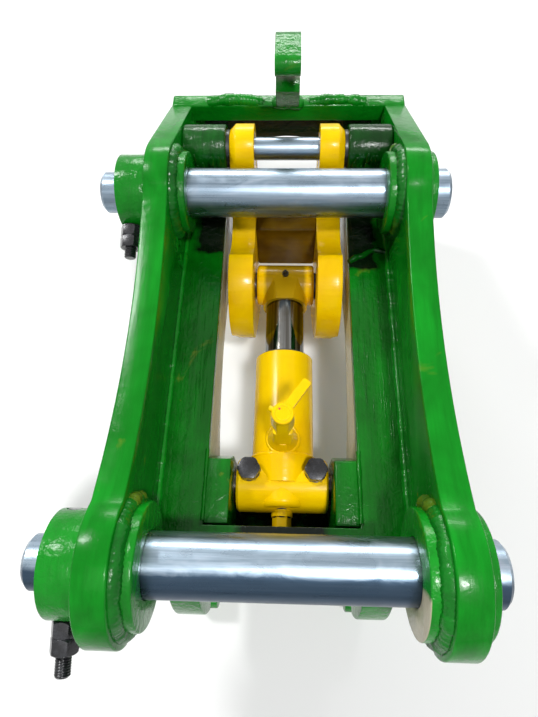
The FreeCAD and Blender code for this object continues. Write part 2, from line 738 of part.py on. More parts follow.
base_head = cross_tube.fuse([head_collar, nose, port_boss]).removeSplitter().cut(barrel_seat)

# Trunnion pins pressed into the head and held there by one bolt each.
pin_grip = size("trunnion_pin_grip")
pin_radius = size("trunnion_pin_radius")
keeper_radius = size("keeper_bolt_radius")
keeper_flats = size("keeper_head_flats")
washer_thick = size("keeper_washer_thick")
washer_radius = keeper_flats * 0.52
pins = []
bolts = []
block_bushes = []
for side in (-1, 1):
    direction = x_axis * side
    pin_start = centre + direction * (head_half - pin_grip)
    keeper_spot = vector(side * (head_half - size("keeper_bolt_inset")), size("keeper_bolt_offset"), 0)
    keeper_base = centre + keeper_spot - z_axis * (keeper_radius / 2)
    face = keeper_base + z_axis * (head_round + keeper_radius / 2 - washer_thick * 0.7)
    keeper_hole = Part.makeCylinder(keeper_radius + clearance, 2 * head_round, keeper_base, z_axis)
    pin_hole = Part.makeCylinder(pin_radius + clearance, pin_grip + washer_thick, pin_start, direction)
    spot_face = Part.makeCylinder(washer_radius * 1.02, head_round, face, z_axis)
    for hollow in (pin_hole, keeper_hole, spot_face):
        base_head = base_head.cut(hollow)
    pin = Part.makeCylinder(pin_radius, opening_half - head_half + pin_grip, pin_start, direction)
    pins.append(pin.cut(keeper_hole))
    shank = Part.makeCylinder(keeper_radius, (face - keeper_base).Length, keeper_base, z_axis)
    washer = Part.makeCylinder(washer_radius, washer_thick, face, z_axis)
    cap = hexagon(keeper_flats, size("keeper_head_height"), face + z_axis * washer_thick, vector(0, 0, 1))
    bolts.append(shank.fuse([washer, cap]))
    bush_start = centre + direction * (head_half + size("block_gap"))
    block_bushes.append(ring(pin_radius + clearance, pin_radius + size("bush_wall"), bush_start,
                             opening_half - head_half - size("block_gap"), direction))
plug_radius = size("port_plug_radius")
plug_seat = centre - y_axis * boss_reach
plug_depth = plug_radius * 2.5
base_head = base_head.cut(Part.makeCylinder(plug_radius + clearance, plug_depth, plug_seat, y_axis))
head_body = group_of("cylinder_base_head", base_head.Solids)
group_of("trunnion_pins", pins)
group_of("trunnion_keeper_bolts", bolts)
group_of("trunnion_bushes", block_bushes)
plug = Part.makeCylinder(plug_radius, plug_depth, plug_seat, y_axis)
plug_hex = hexagon(size("port_plug_flats"), size("port_plug_length"), plug_seat, vector(0, -1, 0))
group_of("port_plug", [plug.fuse(plug_hex)])

# Rod, piston and the rod eye, which is bored large at the pivot that stays open.
turned("piston_rod", "Y", [("0", "rod_eye_y - rod_eye_radius - piston_place + rod_neck_wall", "rod_radius")],
       y="piston_place", z=cylinder_z)
piston_land = "bore_radius - fit_clearance"
groove = "bore_radius - seal_depth"
turned("piston", "Y", [("0", "piston_length", groove), ("0", "piston_length / 3", piston_land),
                       ("2 * piston_length / 3", "piston_length / 3", piston_land)],
       y="piston_place - piston_length", z=cylinder_z)
turned("piston_seal", "Y", [("0", "piston_length / 3", piston_land)], [("0", "piston_length / 3", groove)],
       y="piston_place - 2 * piston_length / 3", z=cylinder_z)
eye_centre = vector(0, *heel)
eye_half = size("rod_eye_half")
eye_radius = size("rod_eye_radius")
eye_bore = size("rod_pin_radius") + size("open_pivot_clearance")
bush_radius = eye_bore + size("rod_bush_wall")
neck_wall = size("rod_neck_wall")
eye_tube = Part.makeCylinder(eye_radius, 2 * eye_half, eye_centre - x_axis * eye_half, x_axis)
eye_tube = eye_tube.makeChamfer(neck_wall / 2, [eye_tube.Edges[0], eye_tube.Edges[2]])
neck = Part.makeCone(size("rod_radius") + neck_wall, eye_radius + neck_wall, eye_radius + neck_wall,
                     eye_centre - y_axis * (eye_radius + 2 * neck_wall), y_axis)
neck = neck.common(Part.makeBox(2 * eye_half, 4 * eye_radius, 2 * eye_radius,
                                eye_centre - vector(eye_half, 4 * eye_radius, eye_radius)))
rod_seat = Part.makeCylinder(size("rod_radius") + clearance, 2 * eye_radius,
                             eye_centre - y_axis * (eye_radius - neck_wall), vector(0, -1, 0))
eye_hole = Part.makeCylinder(bush_radius + clearance, 2 * eye_half, eye_centre - x_axis * eye_half, x_axis)
nipple_radius = size("nipple_radius")
nipple_hole = Part.makeCylinder(nipple_radius + clearance, 2 * eye_radius, eye_centre, z_axis)
eye = eye_tube.fuse(neck).removeSplitter()
for hollow in (rod_seat, eye_hole, nipple_hole):
    eye = eye.cut(hollow)
group_of("rod_eye", eye.Solids)
group_of("rod_eye_bush", [ring(eye_bore, bush_radius, eye_centre - x_axis * eye_half, 2 * eye_half, x_axis)])
eye_top = eye_centre + z_axis * eye_radius
nipple_start = eye_centre + z_axis * (bush_radius + nipple_radius * 0.2)
nipple = Part.makeCylinder(nipple_radius, (eye_top - nipple_start).Length, nipple_start, z_axis)
nipple_hex = hexagon(3 * nipple_radius, 1.7 * nipple_radius, eye_top, vector(0, 0, 1))
nipple_tip = Part.makeCone(1.1 * nipple_radius, 0.7 * nipple_radius, 2 * nipple_radius,
                           eye_top + z_axis * 1.7 * nipple_radius, z_axis)
group_of("rod_eye_grease_nipple", [nipple.fuse([nipple_hex, nipple_tip])])

# Shut-off valve on the barrel, with its lever held by a cap nut.
valve_base = vector(0, size("valve_y"), trunnion[1] + barrel_round)
valve_half = size("valve_half")
stand_height = size("valve_stand_height")
nut_top = stand_height + size("valve_nut_height")
sink = valve_half / 2
stand = Part.makeBox(2 * valve_half, 2 * valve_half, stand_height + sink,
                     valve_base - vector(valve_half, valve_half, sink))
stand = stand.makeFillet(valve_half / 3, [edge for edge in stand.Edges if abs(edge.tangentAt(0).z) > 0.9])
flange = Part.makeCone(valve_half + size("valve_flange_rim"), valve_half * 1.08, stand_height * 0.26 + sink,
                       valve_base - z_axis * sink, z_axis)
gland_nut = hexagon(size("valve_nut_flats"), size("valve_nut_height"), valve_base + z_axis * stand_height,
                    vector(0, 0, 1))
valve = stand.fuse([flange, gland_nut])
barrel_volume = Part.makeCylinder(barrel_round, 8 * valve_half,
                                  vector(0, size("valve_y") - 4 * valve_half, heel[1]), y_axis)
group_of("valve_body", [valve.cut(barrel_volume).cut(head_body.Shape).removeSplitter()])
lever_seat = valve_base + z_axis * (nut_top + 6 * clearance)
lever_turn = FreeCAD.Rotation(z_axis, -size("lever_turn"))
lever_half = size("lever_width") / 2
hub_radius = size("lever_hub_radius")
hub_height = size("lever_hub_height")
hub = Part.makeCylinder(hub_radius, hub_height, lever_seat, z_axis)
hub = hub.makeChamfer(hub_height * 0.12, [hub.Edges[0]])
arm = Part.makeBox(2 * lever_half, size("lever_reach"), size("lever_thick"),
                   vector(-lever_half, 0, (hub_height - size("lever_thick")) / 2))
tip_round = size("lever_reach") * 0.9
arm = arm.makeFillet(lever_half * 0.6, [edge for edge in arm.Edges if abs(edge.tangentAt(0).z) > 0.9
                                        and edge.CenterOfMass.y > tip_round])
arm.Placement = FreeCAD.Placement(lever_seat, lever_turn) * arm.Placement
stub = Part.makeCylinder(size("lever_stub_radius"), size("lever_stub_length"),
                         lever_seat + z_axis * (hub_height / 2), lever_turn.multVec(vector(-1, -0.2, 0)))
group_of("valve_lever", [hub.fuse([arm, stub]).removeSplitter()])

# Lifting hook standing on the end plate, its mouth towards the arm pin.
hook_far = size("rear_reach") - size("hook_inset")
hook_top = end_plate_top + size("hook_height")
hook_back = size("hook_back")
hook_nose = size("hook_nose")
throat = size("hook_throat_radius")
throat_y = hook_far - hook_back - throat
throat_z = hook_top - hook_nose - throat


def lifting_hook_outline():
    base_front = hook_far - size("hook_base")
    nose_y = throat_y - hook_nose * 0.57
    return [
        line((base_front, end_plate_top), (hook_far, end_plate_top)),
        line((hook_far, end_plate_top), (hook_far, hook_top - hook_back)),
        arc_through((hook_far, hook_top - hook_back),
                    (hook_far - hook_back * corner_share, hook_top - hook_back * corner_share),
                    (hook_far - hook_back, hook_top)),
        line((hook_far - hook_back, hook_top), (nose_y, hook_top)),
        arc_through((nose_y, hook_top), (nose_y - hook_nose / 2, hook_top - hook_nose / 2),
                    (nose_y, hook_top - hook_nose)),
        line((nose_y, hook_top - hook_nose), (throat_y, throat_z + throat)),
        arc_through((throat_y, throat_z + throat), (throat_y + throat, throat_z),
                    (throat_y, throat_z - throat)),
        line((throat_y, throat_z - throat), (base_front, end_plate_top)),
    ]


side_cut_plate("lifting_hook", [lifting_hook_outline()], "hook_thick", "- hook_thick / 2")

doc.recompute()
faulty = [item.Name for item in doc.Objects if "Invalid" in item.State or "Error" in item.State]
if faulty:
    raise RuntimeError("failed objects: %s" % faulty)
for item in made:
    shape = item.Shape
    if shape.isNull() or not shape.isValid() or not shape.Solids:
        raise RuntimeError("bad shape: " + item.Label)
for item in made:
    item.Shape.exportStep("parts/%s.step" % item.Label)
    print("%-26s %d solids  %.0f cm3" % (item.Label, len(item.Shape.Solids), item.Shape.Volume / 1000))
print(len(made), "nodes")
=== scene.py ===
import json
import math
import bmesh
import bpy
from mathutils import Matrix, Vector


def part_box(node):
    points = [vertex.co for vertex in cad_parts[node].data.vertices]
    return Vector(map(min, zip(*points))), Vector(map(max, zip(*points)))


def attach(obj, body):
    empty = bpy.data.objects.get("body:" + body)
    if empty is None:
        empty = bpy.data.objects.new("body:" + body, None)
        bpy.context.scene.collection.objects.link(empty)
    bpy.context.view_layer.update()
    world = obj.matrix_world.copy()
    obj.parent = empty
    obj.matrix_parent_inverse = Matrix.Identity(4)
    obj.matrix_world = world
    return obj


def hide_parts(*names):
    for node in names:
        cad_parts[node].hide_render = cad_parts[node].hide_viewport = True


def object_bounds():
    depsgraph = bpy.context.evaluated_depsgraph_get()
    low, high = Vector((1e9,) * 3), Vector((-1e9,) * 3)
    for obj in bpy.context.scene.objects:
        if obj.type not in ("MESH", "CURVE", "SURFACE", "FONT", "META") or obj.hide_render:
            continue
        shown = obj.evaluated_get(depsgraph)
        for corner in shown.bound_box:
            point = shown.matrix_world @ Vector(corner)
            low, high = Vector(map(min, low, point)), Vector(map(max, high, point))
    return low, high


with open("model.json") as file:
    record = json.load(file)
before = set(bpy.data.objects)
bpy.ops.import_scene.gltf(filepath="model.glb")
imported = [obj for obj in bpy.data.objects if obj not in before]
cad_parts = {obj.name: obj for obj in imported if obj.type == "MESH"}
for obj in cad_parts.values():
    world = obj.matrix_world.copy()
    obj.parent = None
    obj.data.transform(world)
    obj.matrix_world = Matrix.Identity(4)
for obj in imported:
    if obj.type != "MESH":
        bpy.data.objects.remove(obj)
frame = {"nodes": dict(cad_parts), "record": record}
nodes = frame["nodes"]
cad_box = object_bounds()
body_of = {node: body for body, members in frame["record"]["behaviour"]["bodies"].items() for node in members}
slot_of = {part["node"]: part["material_slot"] for part in frame["record"]["subparts"]}

# The studio: a plain pale floor under the coupler, white air round it and soft lamps over it.
# The camera looks down from above the arm pin, as the photograph does.
floor_z = cad_box[0][2]


def background_rays(tree):
    seen = tree.nodes.new("ShaderNodeLightPath")
    total = None
    for way in ("Is Camera Ray", "Is Glossy Ray", "Is Transmission Ray"):
        if total is None:
            total = seen.outputs[way]
            continue
        either = tree.nodes.new("ShaderNodeMath")
        either.operation = "MAXIMUM"
        tree.links.new(total, either.inputs[0])
        tree.links.new(seen.outputs[way], either.inputs[1])
        total = either.outputs[0]
    return total


def plain_stage(name, colour, glow, centre, half):
    corners = [(-half, -half, 0), (half, -half, 0), (half, half, 0), (-half, half, 0)]
    mesh = bpy.data.meshes.new(name)
    mesh.from_pydata([Vector(corner) + Vector(centre) for corner in corners], [], [(0, 1, 2, 3)])
    surface = bpy.data.objects.new(name, mesh)
    bpy.context.scene.collection.objects.link(surface)
    material = bpy.data.materials.new(name + "_finish")
    material.use_nodes = True
    tree = material.node_tree
    shader = tree.nodes["Principled BSDF"]
    shader.inputs["Base Color"].default_value = (*colour, 1)
    shader.inputs["Roughness"].default_value = 0.9
    shader.inputs["Specular IOR Level"].default_value = 0.1
    shader.inputs["Emission Strength"].default_value = 1.0
    seen = background_rays(tree)
    lift = tree.nodes.new("ShaderNodeMix")
    lift.data_type = "RGBA"
    lift.inputs[6].default_value = (0, 0, 0, 1)
    lift.inputs[7].default_value = (*glow, 1)
    tree.links.new(seen, lift.inputs["Factor"])
    tree.links.new(lift.outputs[2], shader.inputs["Emission Color"])
    mesh.materials.append(material)


plain_stage("studio_floor", (0.84, 0.84, 0.84), (0.06, 0.06, 0.06), (0, 0.3, floor_z), 6.0)

world = bpy.data.worlds.new("studio_air")
bpy.context.scene.world = world
world.use_nodes = True
air = world.node_tree.nodes["Background"]
air.inputs["Color"].default_value = (1, 1, 1, 1)
level = world.node_tree.nodes.new("ShaderNodeMapRange")
level.inputs["To Min"].default_value = 0.13
level.inputs["To Max"].default_value = 1.0
world.node_tree.links.new(background_rays(world.node_tree), level.inputs["Value"])
world.node_tree.links.new(level.outputs[0], air.inputs["Strength"])


def soft_lamp(name, place, aim, side, power):
    lamp = bpy.data.lights.new(name, "AREA")
    lamp.shape = "RECTANGLE"
    lamp.size, lamp.size_y = side
    lamp.energy = power
    holder = bpy.data.objects.new(name, lamp)
    holder.location = place
    holder.rotation_euler = (Vector(aim) - Vector(place)).to_track_quat("-Z", "Y").to_euler()
    bpy.context.scene.collection.objects.link(holder)


soft_lamp("key_lamp", (0.50, -0.65, 2.35), (0, 0.3, -0.1), (0.28, 0.28), 50)
soft_lamp("window_lamp", (-1.5, 1.2, 2.1), (0, 0.3, -0.1), (0.4, 0.4), 40)
soft_lamp("far_strip_lamp", (0.1, 2.9, 1.2), (0, 0.4, 0), (2.2, 0.30), 52)
soft_lamp("overhead_sheet", (0.0, -0.75, 1.9), (0, 0.1, 0), (2.0, 1.1), 7)

camera_place = Vector((0.0034, -0.0188, 0.5528))
camera_pitch = math.radians(65.76)
camera_yaw = math.radians(4.77)
camera_roll = math.radians(-3.58)
focal_pixels = 512.28
picture_width = 538
lens_data = bpy.data.cameras.new("photo_camera")
lens_data.sensor_fit = "HORIZONTAL"
lens_data.sensor_width = 36.0
lens_data.lens = 36.0 * focal_pixels / picture_width
lens_data.clip_start = 0.01
camera = bpy.data.objects.new("photo_camera", lens_data)
turn = (Matrix.Rotation(camera_yaw, 4, "Z") @ Matrix.Rotation(math.radians(90) - camera_pitch, 4, "X")
        @ Matrix.Rotation(camera_roll, 4, "Z"))
camera.matrix_world = Matrix.Translation(camera_place) @ turn
bpy.context.scene.collection.objects.link(camera)
bpy.context.scene.camera = camera
bpy.context.scene.view_settings.view_transform = "Standard"


# Welded frame: flame-cut steel plates under thick gloss green enamel laid on by brush. The paint is
# streaked along the plates, pooled and rippled, thin enough in places for the ochre primer to show.
# Field and Recipe, the two classes here, write every other finish as well.
class Field:
    """A value that varies over a surface, written in sums and products."""

    def __init__(self, recipe, socket):
        self.recipe = recipe
        self.socket = socket

    def maths(self, operation, *others):
        made = self.recipe.node("ShaderNodeMath", {"operation": operation})
        for index, value in enumerate((self,) + others):
            self.recipe.feed(made.inputs[index], value)
        return Field(self.recipe, made.outputs[0])

    def __add__(self, other):
        return self.maths("ADD", other)

    __radd__ = __add__

    def __sub__(self, other):
        return self.maths("SUBTRACT", other)

    def __rsub__(self, other):
        return (self * -1) + other

    def __mul__(self, other):
        return self.maths("MULTIPLY", other)

    __rmul__ = __mul__

    def held(self):
        return self.maths("MAXIMUM", 0.0).maths("MINIMUM", 1.0)


class Recipe:
    """One finish: its material, and the nodes that colour it."""

    def __init__(self, name, **plain):
        self.material = bpy.data.materials.new(name)
        self.material.use_nodes = True
        self.tree = self.material.node_tree
        self.shader = self.tree.nodes["Principled BSDF"]
        for key, value in plain.items():
            self.shader.inputs[key.replace("_", " ")].default_value = value
        self.place = Field(self, self.node("ShaderNodeTexCoord").outputs["Object"])

    def feed(self, socket, value):
        if isinstance(value, Field):
            self.tree.links.new(value.socket, socket)
        elif isinstance(value, tuple) and len(value) == 3 and socket.type == "RGBA":
            socket.default_value = (*value, 1)
        else:
            socket.default_value = value

    def node(self, kind, settings=None, inputs=None):
        made = self.tree.nodes.new(kind)
        for key, value in (settings or {}).items():
            setattr(made, key, value)
        for key, value in (inputs or {}).items():
            self.feed(made.inputs[key], value)
        return made

    def axis(self, letter):
        parts = self.node("ShaderNodeSeparateXYZ", None, {0: self.place})
        return Field(self, parts.outputs[letter])

    def stretched(self, scale, turn=(0.0, 0.0, 0.0)):
        made = self.node("ShaderNodeMapping", None, {"Vector": self.place, "Scale": scale, "Rotation": turn})
        return Field(self, made.outputs[0])

    def noise(self, place, scale, detail=3.0, roughness=0.5, distortion=0.0):
        made = self.node("ShaderNodeTexNoise", None, {"Vector": place, "Scale": scale, "Detail": detail,
                                                      "Roughness": roughness, "Distortion": distortion})
        return Field(self, made.outputs["Fac"])

    def distance(self, centre, stretch=(1.0, 1.0, 1.0)):
        offset = self.node("ShaderNodeVectorMath", {"operation": "SUBTRACT"}, {0: self.place, 1: centre})
        scaled = self.node("ShaderNodeVectorMath", {"operation": "MULTIPLY"},
                           {0: Field(self, offset.outputs[0]), 1: stretch})
        length = self.node("ShaderNodeVectorMath", {"operation": "LENGTH"}, {0: Field(self, scaled.outputs[0])})
        return Field(self, length.outputs["Value"])

    def between(self, field, low, high):
        made = self.node("ShaderNodeMapRange", {"clamp": True},
                         {"Value": field, "From Min": low, "From Max": high})
        return Field(self, made.outputs[0])

    def blend(self, share, first, second):
        made = self.node("ShaderNodeMix", {"data_type": "RGBA"})
        self.feed(made.inputs["Factor"], share)
        self.feed(made.inputs[6], first)
        self.feed(made.inputs[7], second)
        return Field(self, made.outputs[2])

    def relief(self, height, strength, distance):
        made = self.node("ShaderNodeBump", None, {"Height": height, "Strength": strength, "Distance": distance})
        self.tree.links.new(made.outputs[0], self.shader.inputs["Normal"])

    def colour(self, field):
        self.feed(self.shader.inputs["Base Color"], field)

    def roughness(self, field):
        self.feed(self.shader.inputs["Roughness"], field)


def brushed_enamel(name, bright, deep, primer, primer_share, brush_way, mask=None, bare_and_shade_colour=None,
                   rippled=0.75, shine=0.22):
    recipe = Recipe(name, IOR=1.45, Coat_Weight=0.05, Coat_Roughness=0.04, Specular_IOR_Level=shine)
    along = recipe.stretched(brush_way)
    hairs = recipe.noise(along, 60.0, 4.0, 0.6, 0.3)
    bands = recipe.noise(along, 17.0, 3.0, 0.6, 0.2)
    fine = recipe.noise(along, 210.0, 2.0, 0.5)
    pools = recipe.noise(recipe.place, 11.0, 3.0, 0.55, 0.6)
    ripples = recipe.noise(recipe.place, 95.0, 3.0, 0.55, 0.5)
    base = recipe.blend(recipe.between(pools, 0.32, 0.66), deep, bright)
    shade = recipe.between(hairs, 0.40, 0.70) * 0.35 + recipe.between(bands, 0.45, 0.62) * 0.45
    streaked = recipe.blend(shade.held(), base, deep)
    thin_spots = recipe.between(recipe.noise(recipe.place, 16.0, 4.0, 0.6, 0.8), 0.66, 0.78) * primer_share
    painted = recipe.blend(thin_spots, streaked, primer)
    # The mask lays a second colour over the paint; in some finishes it is bare steel, in others near black as painted
    # shade.
    if mask:
        painted = recipe.blend(mask(recipe), painted, bare_and_shade_colour)
    recipe.colour(painted)
    recipe.roughness((0.13 + recipe.between(pools, 0.3, 0.8) * 0.12 + fine * 0.07).held())
    recipe.relief(hairs * (0.05 + rippled * 0.4) + fine * 0.05 + ripples * rippled + pools * 0.9, 0.55, 0.0030)
    return recipe.material


green_bright = (0.004, 0.245, 0.012)
green_deep = (0.0012, 0.140, 0.005)
ochre_primer = (0.200, 0.210, 0.014)
bare_steel_tan = (0.52, 0.47, 0.33)
along_y = (3.0, 0.22, 1.6)
down_z = (2.0, 2.0, 0.22)
# Weld beads round the bosses take a darker green as painted shade.
green_shaded_weld_paint = brushed_enamel("green_enamel_weld_painted_shade", (0.005, 0.190, 0.012), (0.002, 0.090, 0.006), ochre_primer,
                                    0.6, (1.0, 1.0, 1.0))
green_tinted_paint = brushed_enamel("green_enamel_over_primer", (0.110, 0.190, 0.012), (0.040, 0.110, 0.008),
                                    (0.30, 0.20, 0.02), 0.9, (1.0, 1.0, 1.0))
green_paint = brushed_enamel("green_enamel", green_bright, green_deep, ochre_primer, 0.75, along_y)
green_flat_paint = brushed_enamel("green_enamel_laid_flat", green_bright, green_deep, ochre_primer, 0.6, along_y,
                                  rippled=0.12, shine=0.12)
green_run_paint = brushed_enamel("green_enamel_run_down", green_bright, green_deep, ochre_primer, 0.6, down_z)
opening_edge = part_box("right_hook_plate")[0].x
boss_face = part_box("right_arm_inner_boss")[0].x


def along_the_opening(recipe):
    across = recipe.axis("X").maths("ABSOLUTE")
    patchy = recipe.noise(recipe.place, 24.0, 3.0, 0.6)
    beside = recipe.between(recipe.axis("Y"), 0.120, 0.150)
    return recipe.between(across + patchy * 0.0004, opening_edge + 0.0007, opening_edge + 0.0003) * beside * 0.92


def inner_boss_face(recipe):
    across = recipe.between(recipe.axis("X"), boss_face + 0.0012, boss_face + 0.0006)
    wiped = recipe.noise(recipe.place, 30.0, 3.0, 0.6) * 0.02
    below = recipe.between(recipe.axis("Y") + recipe.axis("Z") * 0.3 + wiped, 0.004, -0.002)
    return across * below


hook_plate_paint = brushed_enamel("green_enamel_bare_flank", green_bright, green_deep, ochre_primer, 0.6,
                                  along_y, along_the_opening, bare_steel_tan)


# Painted shadow: near-black patches on the floor's top, in a band under the link pin and in front of the cylinder's
# head by the port.
def floor_painted_shadow(recipe):
    ragged = recipe.noise(recipe.place, 38.0, 3.0, 0.6) * 0.022
    top_only = recipe.between(recipe.axis("Z"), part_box("floor_plate")[1].z - 0.002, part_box("floor_plate")[1].z - 0.001)
    sideways = recipe.axis("X")
    right = recipe.between(sideways, 0.0, 0.01)
    front = recipe.axis("Y") + ragged + right * 0.030
    start = recipe.between(front, link_middle - 0.036, link_middle - 0.030)
    finish = recipe.between(recipe.axis("Y"), link_middle + 0.075, link_middle + 0.055)
    reach = recipe.between(sideways.maths("ABSOLUTE") + ragged, 0.150, 0.140)
    by_the_port = recipe.between(sideways.maths("ABSOLUTE") + ragged, 0.070, 0.058)
    by_the_port = by_the_port * recipe.between(recipe.axis("Y"), 0.10, 0.09)
    return top_only * by_the_port.maths("MAXIMUM", start * finish * reach) * 0.97


link_middle = (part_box("link_pin")[0].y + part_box("link_pin")[1].y) / 2
# The floor takes a darker green than the walls as painted shade, with the near-black painted shadow above.
floor_paint = brushed_enamel("green_enamel_floor_painted_shade", (0.0020, 0.165, 0.006), (0.0008, 0.075, 0.002), ochre_primer,
                             0.6, (3.4, 0.16, 1.6), floor_painted_shadow, (0.0015, 0.0030, 0.0015))
green_with_bare_face = brushed_enamel("green_enamel_bare_face", green_bright, green_deep, ochre_primer, 0.4,
                                      down_z, inner_boss_face, bare_steel_tan)

# Flame-cut plates and turned bosses: their corners are eased by grinding before the paint, so an eased
# copy of each stands for the sharp solid. The jaw plates also have the bevelled head and heel.


def settle(item, mesh=None):
    if mesh:
        item.data = mesh
    for face in item.data.polygons:
        face.use_smooth = True
    item.data.set_sharp_from_angle(angle=math.radians(32))
    return item


def merged_copy(name):
    mesh = nodes[name].data.copy()
    shape = bmesh.new()
    shape.from_mesh(mesh)
    bmesh.ops.remove_doubles(shape, verts=shape.verts, dist=0.00001)
    bmesh.ops.dissolve_limit(shape, angle_limit=math.radians(0.4), verts=shape.verts, edges=shape.edges)
    return mesh, shape


def finished_piece(name, mesh, paint, body, stands_for=()):
    piece = bpy.data.objects.new(name, mesh)
    bpy.context.scene.collection.objects.link(piece)
    mesh.materials.clear()
    mesh.materials.append(paint)
    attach(piece, body)
    if stands_for:
        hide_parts(*stands_for)
    return piece


def applied(piece):
    bpy.context.view_layer.update()
    mesh = bpy.data.meshes.new_from_object(piece.evaluated_get(bpy.context.evaluated_depsgraph_get()))
    piece.modifiers.clear()
    return settle(piece, mesh)


def eased_copy(name, ease, paint, segments=3, angle=50, before=None):
    mesh, shape = merged_copy(name)
    if before:
        before(shape)
    shape.to_mesh(mesh)
    shape.free()
    piece = bpy.data.objects.new(name + "_eased", mesh)
    bpy.context.scene.collection.objects.link(piece)
    mesh.materials.clear()
    mesh.materials.append(paint)
    bevel = piece.modifiers.new("round", "BEVEL")
    bevel.width = ease
    bevel.segments = segments
    bevel.limit_method = "ANGLE"
    bevel.angle_limit = math.radians(angle)
    bevel.use_clamp_overlap = True
    applied(piece)
    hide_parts(name)
    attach(piece, body_of[name])
    return piece


end_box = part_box("rear_end_plate")
bar_depth = 0.031


# Painted shade: near black on the end plate's front face under its top bar, in the recess.
def shaded_recess(recipe):
    ragged = recipe.noise(recipe.place, 45.0, 3.0, 0.6) * 0.006
    below = recipe.between(recipe.axis("Z") + ragged, end_box[1].z - bar_depth + 0.004, end_box[1].z - bar_depth)
    within = recipe.between(recipe.axis("X").maths("ABSOLUTE") + ragged, 0.142, 0.138)
    facing_in = recipe.between(recipe.axis("Y"), end_box[1].y - 0.002, end_box[1].y - 0.004)
    return below * within * facing_in * 0.96


# Painted shade: near black on the cross plate's rear face and across its middle behind the cylinder's head.
def shaded_cross_face(recipe):
    rear_side = recipe.between(recipe.axis("Y"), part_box("front_cross_plate")[1].y - 0.004,
                               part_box("front_cross_plate")[1].y - 0.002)
    ragged = recipe.noise(recipe.place, 45.0, 3.0, 0.6) * 0.016
    by_the_port = recipe.between(recipe.axis("X").maths("ABSOLUTE") + ragged, 0.062, 0.050)
    return rear_side.maths("MAXIMUM", by_the_port) * 0.95


# Near-black colour of the painted shade in the recess, behind the head and on the guard lip.
painted_shade_black = (0.0035, 0.0060, 0.0035)
recess_paint = brushed_enamel("green_enamel_recess_painted_shade", green_bright, green_deep, ochre_primer, 0.5,
                              (0.22, 2.0, 2.0), shaded_recess, painted_shade_black)
cross_paint = brushed_enamel("green_enamel_cross_plate", green_bright, green_deep, ochre_primer, 0.3,
                             (0.22, 2.0, 2.0), shaded_cross_face, painted_shade_black)
for name in ("left_side_plate", "right_side_plate"):
    eased_copy(name, 0.0026, green_flat_paint)
# The trunnion blocks take the floor's darker green as painted shade.
for name in ("left_trunnion_block", "right_trunnion_block"):
    eased_copy(name, 0.0026, floor_paint)
eased_copy("rear_end_plate", 0.0034, recess_paint)
eased_copy("front_cross_plate", 0.0020, cross_paint)
eased_copy("floor_plate", 0.0020, floor_paint)
for name in ("left_hook_plate", "right_hook_plate"):
    eased_copy(name, 0.0020, hook_plate_paint)


# The pivot lugs take a much darker green as painted shade; their runs and the floor bead before the right lug share it.
lug_shade_paint = brushed_enamel("green_enamel_lugs_painted_shade", (0.0015, 0.085, 0.004), (0.0005, 0.020, 0.001), ochre_primer,
                           0.3, (3.0, 0.3, 0.3), rippled=0.60)
for name in ("left_pivot_lug", "right_pivot_lug"):
    eased_copy(name, 0.0030, lug_shade_paint)
for name in ("left_arm_inner_boss", "left_link_inner_boss", "right_link_inner_boss", "right_arm_outer_ring",
             "right_link_outer_ring", "left_arm_lock_collar", "left_link_lock_collar"):
    eased_copy(name, 0.0022, green_paint)
eased_copy("right_arm_inner_boss", 0.0018, green_with_bare_face)

# Moving jaw and cylinder: steel under thick chrome-yellow enamel, laid on in long smooth strokes, a
# little deeper in colour where it is thin, with specks of dirt; the jaw's web and the middle of the
# rod eye are darker as painted shade.
yellow_bright = (0.880, 0.570, 0.0003)
yellow_deep = (0.760, 0.430, 0.0003)
yellow_dirt = (0.300, 0.170, 0.010)


def yellow_enamel(name, stroke_way, bright=yellow_bright, deep=yellow_deep, mask=None, shade_colour=None):
    recipe = Recipe(name, IOR=1.45, Coat_Weight=0.04, Coat_Roughness=0.05, Specular_IOR_Level=0.16)
    strokes = recipe.noise(recipe.stretched(stroke_way), 55.0, 3.0, 0.55, 0.3)
    pools = recipe.noise(recipe.place, 12.0, 3.0, 0.55, 0.5)
    specks = recipe.noise(recipe.place, 130.0, 3.0, 0.6)
    base = recipe.blend(recipe.between(pools, 0.3, 0.62), deep, bright)
    streaked = recipe.blend(recipe.between(strokes, 0.45, 0.75) * 0.35, base, deep)
    if mask:
        streaked = recipe.blend(mask(recipe), streaked, shade_colour)
    recipe.colour(recipe.blend(recipe.between(specks, 0.70, 0.80) * 0.5, streaked, yellow_dirt))
    recipe.roughness((0.17 + recipe.between(pools, 0.3, 0.8) * 0.13).held())
    recipe.relief(strokes * 0.5 + pools * 0.7 + specks * 0.06, 0.4, 0.0020)
    return recipe.material


yellow_paint = yellow_enamel("yellow_enamel", (1.8, 0.3, 1.8))
yellow_cross_paint = yellow_enamel("yellow_enamel_cross", (0.3, 1.8, 1.8))
# Jaw web: dark brown-yellow all over as painted shade under the link pin.
web_shade_paint = yellow_enamel("yellow_enamel_web_painted_shade", (0.3, 1.8, 1.8), (0.200, 0.110, 0.002), (0.080, 0.040, 0.001))


# Painted shadow: the middle of the rod eye is darker than its lit ends, as under the link pin's shadow.
def eye_middle_painted_shadow(recipe):
    ragged = recipe.noise(recipe.place, 40.0, 3.0, 0.6) * 0.006
    return recipe.between(recipe.axis("X").maths("ABSOLUTE") + ragged, 0.037, 0.031) * 0.85


eye_paint = yellow_enamel("yellow_enamel_eye_painted_shadow", (1.8, 0.3, 1.8), yellow_bright, yellow_deep, eye_middle_painted_shadow,
                          (0.200, 0.120, 0.002))
jaw_bevel = 0.009
pivot_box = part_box("jaw_pivot_pin")
pivot_y = (pivot_box[0].y + pivot_box[1].y) / 2
pivot_z = (pivot_box[0].z + pivot_box[1].z) / 2
heel_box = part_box("rod_eye_pin")
heel_y = (heel_box[0].y + heel_box[1].y) / 2
heel_z = (heel_box[0].z + heel_box[1].z) / 2


